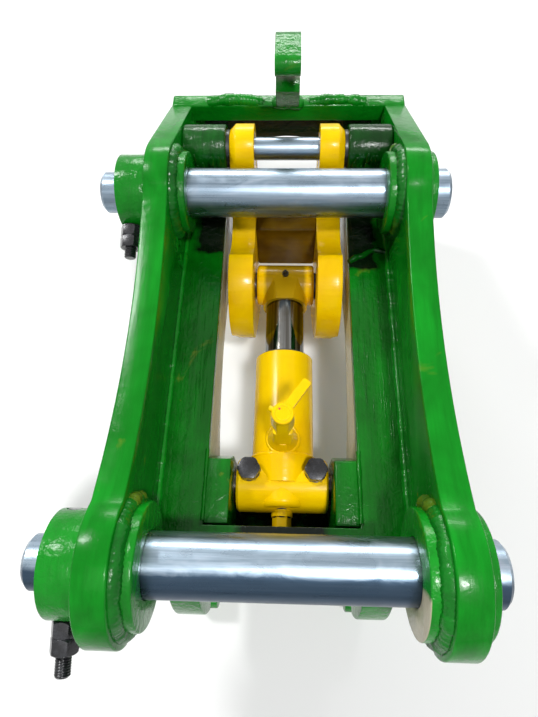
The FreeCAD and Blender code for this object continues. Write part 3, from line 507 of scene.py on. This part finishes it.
def jaw_bevels(outer_x):
    inward = -1 if outer_x > 0 else 1

    def cut(shape):
        everything = list(shape.verts) + list(shape.edges) + list(shape.faces)
        bmesh.ops.bisect_plane(shape, geom=everything, plane_co=(outer_x + inward * jaw_bevel, 0, 0),
                               plane_no=(1, 0, 0))
        for vertex in shape.verts:
            if abs(vertex.co.x - outer_x) > 0.0002:
                continue
            for middle_y, middle_z, radius, reach in ((pivot_y, pivot_z, 0.034, vertex.co.z - pivot_z + 0.012),
                                                      (heel_y, heel_z, 0.084, heel_z - 0.018 - vertex.co.z)):
                gap = math.hypot(vertex.co.y - middle_y, vertex.co.z - middle_z)
                if abs(gap - radius) < 0.0015:
                    share = max(0.0, min(1.0, reach / 0.016)) * jaw_bevel / gap
                    vertex.co.y += (middle_y - vertex.co.y) * share
                    vertex.co.z += (middle_z - vertex.co.z) * share
    return cut


left_jaw_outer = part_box("left_jaw_plate")[0].x
right_jaw_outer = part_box("right_jaw_plate")[1].x
eased_copy("left_jaw_plate", 0.0012, yellow_cross_paint, 2, 35, jaw_bevels(left_jaw_outer))
eased_copy("right_jaw_plate", 0.0012, yellow_cross_paint, 2, 35, jaw_bevels(right_jaw_outer))

# Machine pins and the jaw's pivot pin: round bar turned and ground, bright along the top, with fine
# lines along its length, grey stains, and a dark blue painted reflection on the side toward the front.
# They slide in from the right.


def ground_steel(name, centre_y, half, film_and_sheen):
    recipe = Recipe(name, Metallic=1.0)
    lines = recipe.noise(recipe.stretched((0.9, 30.0, 30.0)), 11.0, 4.0, 0.65, 0.2)
    rings = recipe.noise(recipe.stretched((40.0, 1.0, 1.0)), 9.0, 3.0, 0.6)
    stains = recipe.noise(recipe.stretched((1.0, 2.2, 2.2)), 17.0, 4.0, 0.62, 1.2)
    clean = recipe.blend(recipe.between(lines, 0.34, 0.66), (0.22, 0.29, 0.35), (0.35, 0.43, 0.51))
    greyed = recipe.blend(recipe.between(stains, 0.52, 0.66) * 0.35, clean, (0.36, 0.38, 0.43))
    # Painted reflection: dark blue laid on the front side of each pin, its share set per pin.
    front_side = recipe.axis("Y") + (centre_y * -1.0) + (stains - 0.5) * (half * 0.35)
    reflected_front = recipe.blend(recipe.between(front_side, half * -0.12, half * -0.34) * film_and_sheen, greyed, (0.025, 0.050, 0.085))
    recipe.colour(recipe.blend(recipe.between(stains, 0.70, 0.78) * 0.5, reflected_front, (0.16, 0.13, 0.10)))
    recipe.roughness((0.24 + recipe.between(stains, 0.4, 0.7) * 0.12 + lines * 0.06).held())
    recipe.relief(lines * 0.8 + rings * 0.2, 0.025, 0.0003)
    return recipe.material


arm_pin_steel = ground_steel("arm_pin_steel", 0.0, 0.0325, 0.92)
link_pin_steel = ground_steel("link_pin_steel", link_middle, 0.0325, 0.35)
pivot_pin_steel = ground_steel("pivot_pin_steel", pivot_y, 0.016, 0.25)


def greased_steel_finish():
    recipe = Recipe("greased_steel", Metallic=0.8)
    film_and_sheen = recipe.noise(recipe.place, 60.0, 3.0, 0.6)
    recipe.colour(recipe.blend(film_and_sheen, (0.020, 0.022, 0.020), (0.070, 0.072, 0.070)))
    recipe.roughness((0.25 + film_and_sheen * 0.2).held())
    recipe.relief(film_and_sheen, 0.1, 0.0004)
    return recipe.material


greased_steel = greased_steel_finish()


# Locking bolts: black-oxide bolts through the collars, each with a coarse rolled thread on its tail
# that carries two nuts, one locking the other.
def black_oxide_finish():
    recipe = Recipe("black_oxide_finish", Metallic=0.35, Coat_Weight=0.2, Coat_Roughness=0.2)
    grain = recipe.noise(recipe.place, 420.0, 3.0, 0.6)
    rubbed = recipe.noise(recipe.place, 70.0, 3.0, 0.6)
    recipe.colour(recipe.blend(recipe.between(rubbed, 0.50, 0.8), (0.010, 0.010, 0.012), (0.048, 0.050, 0.058)))
    recipe.roughness((0.20 + grain * 0.16).held())
    recipe.relief(grain, 0.2, 0.0004)
    return recipe.material


black_oxide = black_oxide_finish()
thread_pitch = 0.0025
thread_depth = 0.0011
steps_round = 28
steps_a_pitch = 6


def threaded_bolt(node):
    low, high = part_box(node)
    radius = (high.x - low.x) / 2
    middle_x = (high.x + low.x) / 2
    tilt = math.atan2(high.z - low.z - 2 * radius, high.y - low.y - 2 * radius)
    for _ in range(8):
        tilt = math.atan2(high.z - low.z - 2 * radius * math.cos(tilt),
                          high.y - low.y - 2 * radius * math.sin(tilt))
    way = Vector((0, -math.cos(tilt), -math.sin(tilt)))
    across = Vector((0, math.sin(tilt), -math.cos(tilt)))
    centre = Vector((middle_x, (low.y + high.y) / 2, (low.z + high.z) / 2))
    long = (high.y - low.y - 2 * radius * math.sin(tilt)) / math.cos(tilt)
    start = centre - way * (long / 2)
    rows = int(long / thread_pitch * steps_a_pitch)
    vertices = []
    faces = []
    for row in range(rows + 1):
        along = long * row / rows
        for step in range(steps_round):
            turned = 2 * math.pi * step / steps_round
            phase = (along / thread_pitch - step / steps_round) % 1.0
            groove = thread_depth * (1 - abs(2 * phase - 1))
            if along < long * 0.62:
                groove = 0.0
            edge = min(along, long - along)
            chamfer = max(0.0, 0.0016 - edge)
            out = radius - 0.00002 - max(groove, chamfer)
            vertices.append(start + way * along + Vector((out * math.cos(turned), 0, 0))
                            + across * (out * math.sin(turned)))
    for row in range(rows):
        for step in range(steps_round):
            after = (step + 1) % steps_round
            faces.append((row * steps_round + step, row * steps_round + after,
                          (row + 1) * steps_round + after, (row + 1) * steps_round + step))
    faces.append(tuple(reversed(range(steps_round))))
    faces.append(tuple(range(rows * steps_round, (rows + 1) * steps_round)))
    mesh = bpy.data.meshes.new(node + "_threaded")
    mesh.from_pydata(vertices, [], faces)
    shape = bmesh.new()
    shape.from_mesh(mesh)
    bmesh.ops.recalc_face_normals(shape, faces=shape.faces)
    shape.to_mesh(mesh)
    shape.free()
    piece = finished_piece(node + "_threaded", mesh, black_oxide, body_of[node], (node,))
    return settle(piece)


threaded_bolt("arm_lock_bolt")
threaded_bolt("link_lock_bolt")
eased_copy("arm_lock_nuts", 0.0005, black_oxide, 2, 25)
eased_copy("link_lock_nuts", 0.0005, black_oxide, 2, 25)


# Cylinder rod: hard chrome over ground bar, dark where it reflects the frame, filmed with grease.
def chrome_finish():
    recipe = Recipe("rod_chrome_finish", Metallic=1.0)
    film_and_sheen = recipe.noise(recipe.stretched((30.0, 0.6, 30.0)), 5.0, 3.0, 0.6)
    smears = recipe.noise(recipe.place, 30.0, 3.0, 0.6, 0.6)
    clean = recipe.blend(recipe.between(film_and_sheen, 0.35, 0.7), (0.05, 0.042, 0.028), (0.26, 0.26, 0.25))
    recipe.colour(recipe.blend(recipe.between(smears, 0.55, 0.75) * 0.5, clean, (0.09, 0.075, 0.04)))
    recipe.roughness((0.08 + recipe.between(smears, 0.4, 0.8) * 0.16).held())
    recipe.relief(film_and_sheen, 0.06, 0.0003)
    return recipe.material


# Bushes and the piston: cast bronze and turned steel, seen only where the pieces part.
def bronze_finish():
    recipe = Recipe("bronze_finish", Metallic=1.0)
    turned = recipe.noise(recipe.stretched((40.0, 2.0, 2.0)), 12.0, 3.0, 0.5)
    recipe.colour(recipe.blend(turned, (0.36, 0.22, 0.09), (0.55, 0.36, 0.15)))
    recipe.roughness((0.28 + turned * 0.12).held())
    return recipe.material


# Wiper and piston seals: black nitrile rubber, moulded, dull and dusty.
def rubber_finish():
    recipe = Recipe("seal_rubber_finish")
    grain = recipe.noise(recipe.place, 300.0, 2.0, 0.5)
    recipe.colour(recipe.blend(grain, (0.012, 0.012, 0.012), (0.030, 0.030, 0.030)))
    recipe.roughness((0.5 + grain * 0.2).held())
    return recipe.material


finishes = {
    "green_paint": green_paint,
    "yellow_paint": yellow_paint,
    "ground_steel": greased_steel,
    "black_oxide": black_oxide,
    "chrome": chrome_finish(),
    "bronze": bronze_finish(),
    "rubber": rubber_finish(),
}
for name, item in nodes.items():
    item.data.materials.clear()
    item.data.materials.append(finishes[slot_of[name]])
nodes["cylinder_base_head"].data.materials[0] = yellow_cross_paint
nodes["jaw_web"].data.materials[0] = web_shade_paint
nodes["rod_eye"].data.materials[0] = eye_paint
nodes["arm_pin"].data.materials[0] = arm_pin_steel
nodes["link_pin"].data.materials[0] = link_pin_steel
nodes["jaw_pivot_pin"].data.materials[0] = pivot_pin_steel

# Lifting hook: thick flame-cut plate welded to the end plate, painted green, with a grey patch in
# its throat.
hook_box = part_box("lifting_hook")
throat = [mount["pos_m"] for mount in frame["record"]["mounts"] if mount["name"] == "lifting_hook_throat"][0]


def grey_throat(recipe):
    gap = recipe.distance((0.0, throat[1] + 0.004, throat[2] + 0.006), (0.0, 1.0, 1.0))
    ragged = recipe.noise(recipe.place, 90.0, 3.0, 0.6) * 0.010
    upper = recipe.between(recipe.axis("Z") + ragged, throat[2] - 0.010, throat[2] - 0.004)
    return recipe.between(gap + ragged, 0.030, 0.026) * upper * 0.9


hook_paint = brushed_enamel("green_enamel_hook_grey_patch", green_bright, green_deep, ochre_primer, 0.3, down_z,
                            grey_throat, (0.30, 0.29, 0.25))
eased_copy("lifting_hook", 0.0030, hook_paint)

# Welds: thick hand-laid fillets round every boss and along every seam of the frame, drowned in paint
# so that only lumps show. One tree of geometry nodes sweeps a wavy round bead along each seam.


def bead_tree():
    tree = bpy.data.node_groups.new("weld_bead", "GeometryNodeTree")
    face = tree.interface
    face.new_socket("Geometry", in_out="INPUT", socket_type="NodeSocketGeometry")
    for label, value in (("Radius", 0.006), ("Pitch", 0.002), ("Wave", 0.25), ("Ripple Length", 0.0055)):
        face.new_socket(label, in_out="INPUT", socket_type="NodeSocketFloat").default_value = value
    face.new_socket("Paint", in_out="INPUT", socket_type="NodeSocketMaterial")
    face.new_socket("Geometry", in_out="OUTPUT", socket_type="NodeSocketGeometry")

    def add(kind, **settings):
        made = tree.nodes.new(kind)
        for key, value in settings.items():
            setattr(made, key, value)
        return made

    def link(first, output, second, entry):
        tree.links.new(first.outputs[output], second.inputs[entry])

    def maths(operation, first, second):
        made = add("ShaderNodeMath", operation=operation)
        for index, value in enumerate((first, second)):
            if isinstance(value, float):
                made.inputs[index].default_value = value
            elif value is not None:
                tree.links.new(value, made.inputs[index])
        return made.outputs[0]

    given = add("NodeGroupInput")
    result = add("NodeGroupOutput")
    steps = add("GeometryNodeResampleCurve", mode="LENGTH")
    link(given, "Geometry", steps, "Curve")
    link(given, "Pitch", steps, "Length")
    lumps = add("ShaderNodeTexNoise")
    lumps.inputs["Scale"].default_value = 55.0
    lumps.inputs["Detail"].default_value = 2.0
    swell = maths("MULTIPLY", maths("SUBTRACT", lumps.outputs[0], 0.5), given.outputs["Wave"])
    along = add("GeometryNodeSplineParameter")
    turns = maths("MULTIPLY", maths("DIVIDE", along.outputs["Length"], given.outputs["Ripple Length"]), 6.2832)
    ripple = maths("MULTIPLY", maths("SINE", turns, None), 0.045)
    share = maths("ADD", maths("ADD", maths("MULTIPLY", swell, 3.0), ripple), 1.0)
    wide = maths("MULTIPLY", share, given.outputs["Radius"])
    sized = add("GeometryNodeSetCurveRadius")
    link(steps, "Curve", sized, "Curve")
    tree.links.new(wide, sized.inputs["Radius"])
    profile = add("GeometryNodeCurvePrimitiveCircle")
    profile.inputs["Resolution"].default_value = 10
    profile.inputs["Radius"].default_value = 1.0
    swept = add("GeometryNodeCurveToMesh")
    swept.inputs["Fill Caps"].default_value = True
    if "Scale" in swept.inputs:
        radius_read = add("GeometryNodeInputRadius")
        tree.links.new(radius_read.outputs[0], swept.inputs["Scale"])
    link(sized, "Curve", swept, "Curve")
    link(profile, "Curve", swept, "Profile Curve")
    smooth = add("GeometryNodeSetShadeSmooth")
    solid = add("GeometryNodeRealizeInstances")
    painted = add("GeometryNodeSetMaterial")
    link(swept, "Mesh", smooth, "Geometry")
    link(smooth, "Geometry", solid, "Geometry")
    link(solid, "Geometry", painted, "Geometry")
    link(given, "Paint", painted, "Material")
    link(painted, "Geometry", result, "Geometry")
    return tree


weld_bead = bead_tree()


def seam_path(name, seams):
    curve = bpy.data.curves.new(name, "CURVE")
    curve.dimensions = "3D"
    for points, closed in seams:
        spline = curve.splines.new("POLY")
        spline.points.add(len(points) - 1)
        for point, place in zip(spline.points, points):
            point.co = (*place, 1)
        spline.use_cyclic_u = closed
    path = bpy.data.objects.new(name + "_path", curve)
    bpy.context.scene.collection.objects.link(path)
    return path


def grown_on(path, tree, **inputs):
    layer = path.modifiers.new("grown", "NODES")
    layer.node_group = tree
    keys = {item.name: item.identifier for item in tree.interface.items_tree if item.in_out == "INPUT"}
    for label, value in inputs.items():
        layer[keys[label.replace("_", " ")]] = value
    bpy.context.view_layer.update()
    mesh = bpy.data.meshes.new_from_object(path.evaluated_get(bpy.context.evaluated_depsgraph_get()))
    bpy.data.objects.remove(path)
    return mesh


def weld(name, seams, radius, body, paint, wave=0.3):
    mesh = grown_on(seam_path(name, seams), weld_bead, Radius=radius, Wave=wave, Paint=paint)
    return finished_piece(name, mesh, paint, body)


def ring_seam(x, centre_y, centre_z, radius, first=0, last=360):
    count = 96
    turns = [math.radians(first + (last - first) * step / count) for step in range(count + 1)]
    return [(x, centre_y + radius * math.cos(turn), centre_z + radius * math.sin(turn)) for turn in turns]


side_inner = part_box("right_side_plate")[0].x
side_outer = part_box("right_side_plate")[1].x
floor_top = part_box("floor_plate")[1].z
floor_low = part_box("floor_plate")[0].z
floor_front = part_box("floor_plate")[0].y
end_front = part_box("rear_end_plate")[0].y
end_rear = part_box("rear_end_plate")[1].y
end_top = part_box("rear_end_plate")[1].z
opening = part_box("right_hook_plate")[0].x
hook_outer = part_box("right_hook_plate")[1].x
end_inset = 0.013
inner_face = end_front + end_inset

boss_seams = []
tip_seams = []
outer_seams = []
floor_seams = []
under_seams = []
for side in (-1, 1):
    for pin, centre in (("arm", 0.0), ("link", link_middle)):
        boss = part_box("right_%s_inner_boss" % pin)
        radius = (boss[1].z - boss[0].z) / 2
        boss_seams.append((ring_seam(side * (side_inner + 0.001), centre, 0, radius - 0.001), False))
        tip_seams.append((ring_seam(side * (side_inner - 0.002), centre, 0, radius + 0.003, 4, 34), False))
        if side > 0:
            outer_seams.append((ring_seam(side_outer + 0.001, centre, 0, radius), False))
        else:
            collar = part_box("left_%s_lock_collar" % pin)
            collar_round = (collar[1].z - collar[0].z) / 2
            outer_seams.append((ring_seam(-side_outer - 0.001, centre, 0, collar_round), False))
    floor_seams.append(([(side * side_inner, floor_front + 0.004, floor_top),
                         (side * side_inner, inner_face, floor_top)], False))
    floor_seams.append(([(side * (side_inner - 0.001), inner_face, floor_top),
                         (side * (side_inner - 0.001), inner_face, end_top - 0.034)], False))
    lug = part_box("right_pivot_lug")
    for lug_y in (lug[0].y, lug[1].y):
        floor_seams.append(([(side * (opening + 0.002), lug_y, floor_top),
                             (side * side_inner, lug_y, floor_top)], False))
    under_seams.append(([(side * hook_outer, floor_front + 0.004, floor_low),
                         (side * hook_outer, end_front, floor_low)], False))
# These beads are painted darker green as shade by the bosses.
weld("boss_welds", boss_seams, 0.0105, "hitch_frame", green_shaded_weld_paint, 0.22)
weld("boss_weld_tips", tip_seams, 0.0072, "hitch_frame", green_tinted_paint, 0.55)
weld("outer_ring_welds", outer_seams, 0.0040, "hitch_frame", green_paint, 0.34)
weld("floor_welds", floor_seams, 0.0052, "hitch_frame", green_run_paint, 0.42)
weld("under_floor_welds", under_seams, 0.0065, "hitch_frame", green_paint, 0.30)

# End plate welds: heavy lumps along the top where the bar meets the side plates and the hook's foot,
# laid by hand in short runs and never ground.
lump_seams = []
for first, last in ((-0.125, -0.040), (0.035, 0.120)):
    lump_seams.append(([(first + (last - first) * step / 12, end_rear - 0.0150,
                         end_top - 0.0030 + 0.005 * math.sin(math.pi * step / 12)) for step in range(13)], False))
hook_half = (hook_box[1].x - hook_box[0].x) / 2
foot_low = end_front + 0.004
foot_loop = [(-hook_half, foot_low, end_top), (hook_half, foot_low, end_top),
             (hook_half, min(hook_box[1].y, end_rear) - 0.0125, end_top),
             (-hook_half, min(hook_box[1].y, end_rear) - 0.0125, end_top)]
weld("end_bar_lumps", lump_seams, 0.0092, "hitch_frame", green_paint, 0.3)
weld("hook_foot_weld", [(foot_loop, True)], 0.0085, "hitch_frame", green_paint, 0.35)

# Guard lip: thin plate bent rearward from the foot of the front cross plate, under the cylinder's
# head, so that stones stay off the hose port. It is patched near black over deep green as painted shade behind the
# port.
cross_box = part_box("front_cross_plate")
lip_half = opening_edge - 0.0006
lip_points = [(cross_box[1].y - 0.002, cross_box[0].z + 0.020), (cross_box[1].y + 0.004, cross_box[0].z + 0.004),
              (cross_box[1].y + 0.020, cross_box[0].z - 0.006), (cross_box[1].y + 0.066, cross_box[0].z - 0.014)]
lip_mesh = bpy.data.meshes.new("front_guard_lip")
lip_shape = bmesh.new()
columns = 8
rows = [[lip_shape.verts.new((lip_half * (2 * step / columns - 1), y, z)) for step in range(columns + 1)]
        for y, z in lip_points]
for first, second in zip(rows, rows[1:]):
    for step in range(columns):
        lip_shape.faces.new((first[step], first[step + 1], second[step + 1], second[step]))
bmesh.ops.recalc_face_normals(lip_shape, faces=lip_shape.faces)
lip_shape.to_mesh(lip_mesh)
lip_shape.free()


# Painted shade: patches of near black over the lip.
def lip_painted_shade(recipe):
    return recipe.between(recipe.noise(recipe.place, 26.0, 4.0, 0.6), 0.25, 0.45) * 0.97


lip_paint = brushed_enamel("green_enamel_guard_lip_shade", green_deep, green_deep, ochre_primer, 0.2, along_y,
                           lip_painted_shade, painted_shade_black)
lip = bpy.data.objects.new("front_guard_lip", lip_mesh)
bpy.context.scene.collection.objects.link(lip)
thicken = lip.modifiers.new("wall", "SOLIDIFY")
thicken.thickness = 0.004
thicken.offset = 0
soften = lip.modifiers.new("bend", "BEVEL")
soften.width = 0.0012
soften.segments = 2
soften.limit_method = "ANGLE"
soften.angle_limit = math.radians(40)
applied(lip)
lip.data.materials.clear()
lip.data.materials.append(lip_paint)
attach(lip, "hitch_frame")

# Pooled paint: runs that hang on the walls and lugs, and brush ridges along the floor strips. One
# tree scatters drawn-out drops over the given patches and sinks each half into the steel.


def run_tree():
    tree = bpy.data.node_groups.new("paint_runs", "GeometryNodeTree")
    face = tree.interface
    face.new_socket("Geometry", in_out="INPUT", socket_type="NodeSocketGeometry")
    face.new_socket("Density", in_out="INPUT", socket_type="NodeSocketFloat").default_value = 4000.0
    face.new_socket("Size", in_out="INPUT", socket_type="NodeSocketVector").default_value = (0.003, 0.002, 0.02)
    face.new_socket("Seed", in_out="INPUT", socket_type="NodeSocketInt").default_value = 4
    face.new_socket("Paint", in_out="INPUT", socket_type="NodeSocketMaterial")
    face.new_socket("Geometry", in_out="OUTPUT", socket_type="NodeSocketGeometry")

    def add(kind, **settings):
        made = tree.nodes.new(kind)
        for key, value in settings.items():
            setattr(made, key, value)
        return made

    def link(first, output, second, entry):
        tree.links.new(first.outputs[output], second.inputs[entry])

    given = add("NodeGroupInput")
    result = add("NodeGroupOutput")
    spots = add("GeometryNodeDistributePointsOnFaces", distribute_method="RANDOM")
    link(given, "Geometry", spots, "Mesh")
    link(given, "Density", spots, "Density")
    link(given, "Seed", spots, "Seed")
    drop = add("GeometryNodeMeshIcoSphere")
    drop.inputs["Radius"].default_value = 0.5
    drop.inputs["Subdivisions"].default_value = 3
    spread = add("FunctionNodeRandomValue", data_type="FLOAT")
    spread.inputs[2].default_value = 0.40
    spread.inputs[3].default_value = 1.25
    link(given, "Seed", spread, "Seed")
    scale = add("ShaderNodeVectorMath", operation="SCALE")
    link(given, "Size", scale, 0)
    tree.links.new(spread.outputs[1], scale.inputs["Scale"])
    laid = add("GeometryNodeInstanceOnPoints")
    link(spots, "Points", laid, "Points")
    link(drop, "Mesh", laid, "Instance")
    tree.links.new(scale.outputs[0], laid.inputs["Scale"])
    smooth = add("GeometryNodeSetShadeSmooth")
    solid = add("GeometryNodeRealizeInstances")
    painted = add("GeometryNodeSetMaterial")
    link(laid, "Instances", solid, "Geometry")
    link(solid, "Geometry", smooth, "Geometry")
    link(smooth, "Geometry", painted, "Geometry")
    link(given, "Paint", painted, "Material")
    link(painted, "Geometry", result, "Geometry")
    return tree


paint_runs = run_tree()


def patches(name, corners_of):
    vertices = []
    faces = []
    for corners in corners_of:
        faces.append(tuple(range(len(vertices), len(vertices) + 4)))
        vertices.extend(corners)
    mesh = bpy.data.meshes.new(name + "_patches")
    mesh.from_pydata(vertices, [], faces)
    item = bpy.data.objects.new(name + "_patches", mesh)
    bpy.context.scene.collection.objects.link(item)
    return item


def paint_drops(name, corners_of, size, density, seed, paint):
    mesh = grown_on(patches(name, corners_of), paint_runs, Density=density, Size=size, Seed=seed, Paint=paint)
    return finished_piece(name, mesh, paint, "hitch_frame")


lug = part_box("right_pivot_lug")
wall_patches = []
lug_patches = []
strip_patches = []
for side in (-1, 1):
    wall = side * (side_inner - 0.0002)
    for y_from, y_to, z_from, z_to in ((link_middle - 0.085, link_middle - 0.050, -0.062, -0.012),
                                       (link_middle + 0.045, inner_face - 0.012, -0.060, -0.024)):
        wall_patches.append([(wall, y_from, z_from), (wall, y_to, z_from), (wall, y_to, z_to), (wall, y_from, z_to)])
    lug_front = lug[0].y + 0.0002
    lug_patches.append([(side * (lug[0].x + 0.008), lug_front, floor_top + 0.010),
                        (side * (side_inner - 0.010), lug_front, floor_top + 0.010),
                        (side * (side_inner - 0.010), lug_front, lug[1].z - 0.012),
                        (side * (lug[0].x + 0.008), lug_front, lug[1].z - 0.012)])
    strip_patches.append([(side * (opening + 0.006), 0.190, floor_top), (side * (side_inner - 0.010), 0.160, floor_top),
                          (side * (side_inner - 0.010), 0.400, floor_top), (side * (opening + 0.006), 0.400, floor_top)])
paint_drops("wall_paint_runs", wall_patches, (0.0028, 0.0034, 0.018), 11000.0, 3, green_run_paint)
paint_drops("lug_paint_runs", lug_patches, (0.0050, 0.0030, 0.016), 16000.0, 5, lug_shade_paint)
paint_drops("floor_brush_ridges", strip_patches, (0.0014, 0.040, 0.0015), 5200.0, 8, floor_paint)

# More welds under the paint: thin fillets beside the trunnion blocks and a wavy bead across the
# floor before the right lug.
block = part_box("right_trunnion_block")
block_seams = []
for side in (-1, 1):
    block_seams.append(([(side * (opening + 0.001), block[0].y + 0.003, floor_top),
                         (side * (opening + 0.001), block[1].y - 0.001, floor_top)], False))
wavy = [(0.093, 0.421), (0.103, 0.429), (0.113, 0.432), (0.122, 0.439), (0.132, 0.443), (0.144, 0.440), (0.157, 0.436)]
wavy_seams = [([(x, y, floor_top) for x, y in wavy], False)]
weld("block_welds", block_seams, 0.0026, "hitch_frame", floor_paint, 0.5)
weld("floor_cross_bead", wavy_seams, 0.0042, "hitch_frame", lug_shade_paint, 0.5)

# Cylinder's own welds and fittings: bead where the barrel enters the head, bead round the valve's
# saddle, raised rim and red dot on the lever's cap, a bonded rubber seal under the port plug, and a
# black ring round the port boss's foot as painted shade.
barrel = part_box("barrel_tube")
barrel_radius = (barrel[1].x - barrel[0].x) / 2
barrel_z = (barrel[1].z + barrel[0].z) / 2
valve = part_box("valve_body")
valve_y = (valve[0].y + valve[1].y) / 2
saddle_radius = (valve[1].y - valve[0].y) / 2 + 0.0005
saddle = []
for step in range(48):
    turned = 2 * math.pi * step / 48
    x = saddle_radius * math.cos(turned)
    saddle.append((x, valve_y + saddle_radius * math.sin(turned), barrel_z + math.sqrt(barrel_radius ** 2 - x ** 2)))
neck = []
for step in range(64):
    turned = 2 * math.pi * step / 64
    neck.append((barrel_radius * math.cos(turned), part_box("cylinder_base_head")[1].y,
                 barrel_z + barrel_radius * math.sin(turned)))
weld("cylinder_welds", [(saddle, True), (neck, True)], 0.0032, "cylinder_barrel", yellow_paint, 0.35)

cap_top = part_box("valve_lever")[1].z
cap_rim = [(0.0088 * math.cos(math.pi * step / 24), valve_y + 0.0088 * math.sin(math.pi * step / 24), cap_top - 0.0006)
           for step in range(48)]
weld("lever_cap_rim", [(cap_rim, True)], 0.0011, "valve_handle", yellow_paint, 0.06)


def red_dot_finish():
    recipe = Recipe("red_dot_enamel")
    worn = recipe.noise(recipe.place, 900.0, 2.0, 0.5)
    recipe.colour(recipe.blend(worn, (0.45, 0.012, 0.008), (0.62, 0.030, 0.020)))
    recipe.roughness((0.25 + worn * 0.2).held())
    return recipe.material


red_dot_enamel = red_dot_finish()
dot_shape = bmesh.new()
bmesh.ops.create_uvsphere(dot_shape, u_segments=24, v_segments=12, radius=0.0013)
bmesh.ops.scale(dot_shape, vec=(1, 1, 0.4), verts=dot_shape.verts)
bmesh.ops.translate(dot_shape, vec=(-0.0038, valve_y + 0.0050, cap_top), verts=dot_shape.verts)
dot_mesh = bpy.data.meshes.new("lever_red_dot")
dot_shape.to_mesh(dot_mesh)
dot_shape.free()
finished_piece("lever_red_dot", dot_mesh, red_dot_enamel, "valve_handle")

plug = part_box("port_plug")
plug_z = (plug[0].z + plug[1].z) / 2
head_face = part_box("cylinder_base_head")[0].y
# The smaller loop is the seal under the plug; the wider loop round the boss's foot is a black ring of painted shade.
seal_and_shade_loops = []
for loop_radius, loop_y in ((0.0104, head_face - 0.0004), (0.0146, head_face + 0.0098)):
    seal_and_shade_loops.append(([(loop_radius * math.cos(math.pi * step / 24), loop_y,
                         plug_z + loop_radius * math.sin(math.pi * step / 24)) for step in range(48)], True))
weld("port_seal_and_shade_rings", seal_and_shade_loops, 0.0013, "cylinder_barrel", finishes["rubber"], 0.04)
eased_copy("valve_body", 0.0008, yellow_paint, 2, 40)
eased_copy("valve_lever", 0.0008, yellow_paint, 2, 40)
eased_copy("port_plug", 0.0008, yellow_paint, 2, 40)
eased_copy("trunnion_keeper_bolts", 0.0009, black_oxide, 2, 25)
eased_copy("jaw_web", 0.0030, web_shade_paint, 2, 40)
eased_copy("jaw_lip_bar", 0.0020, yellow_paint, 2, 40)
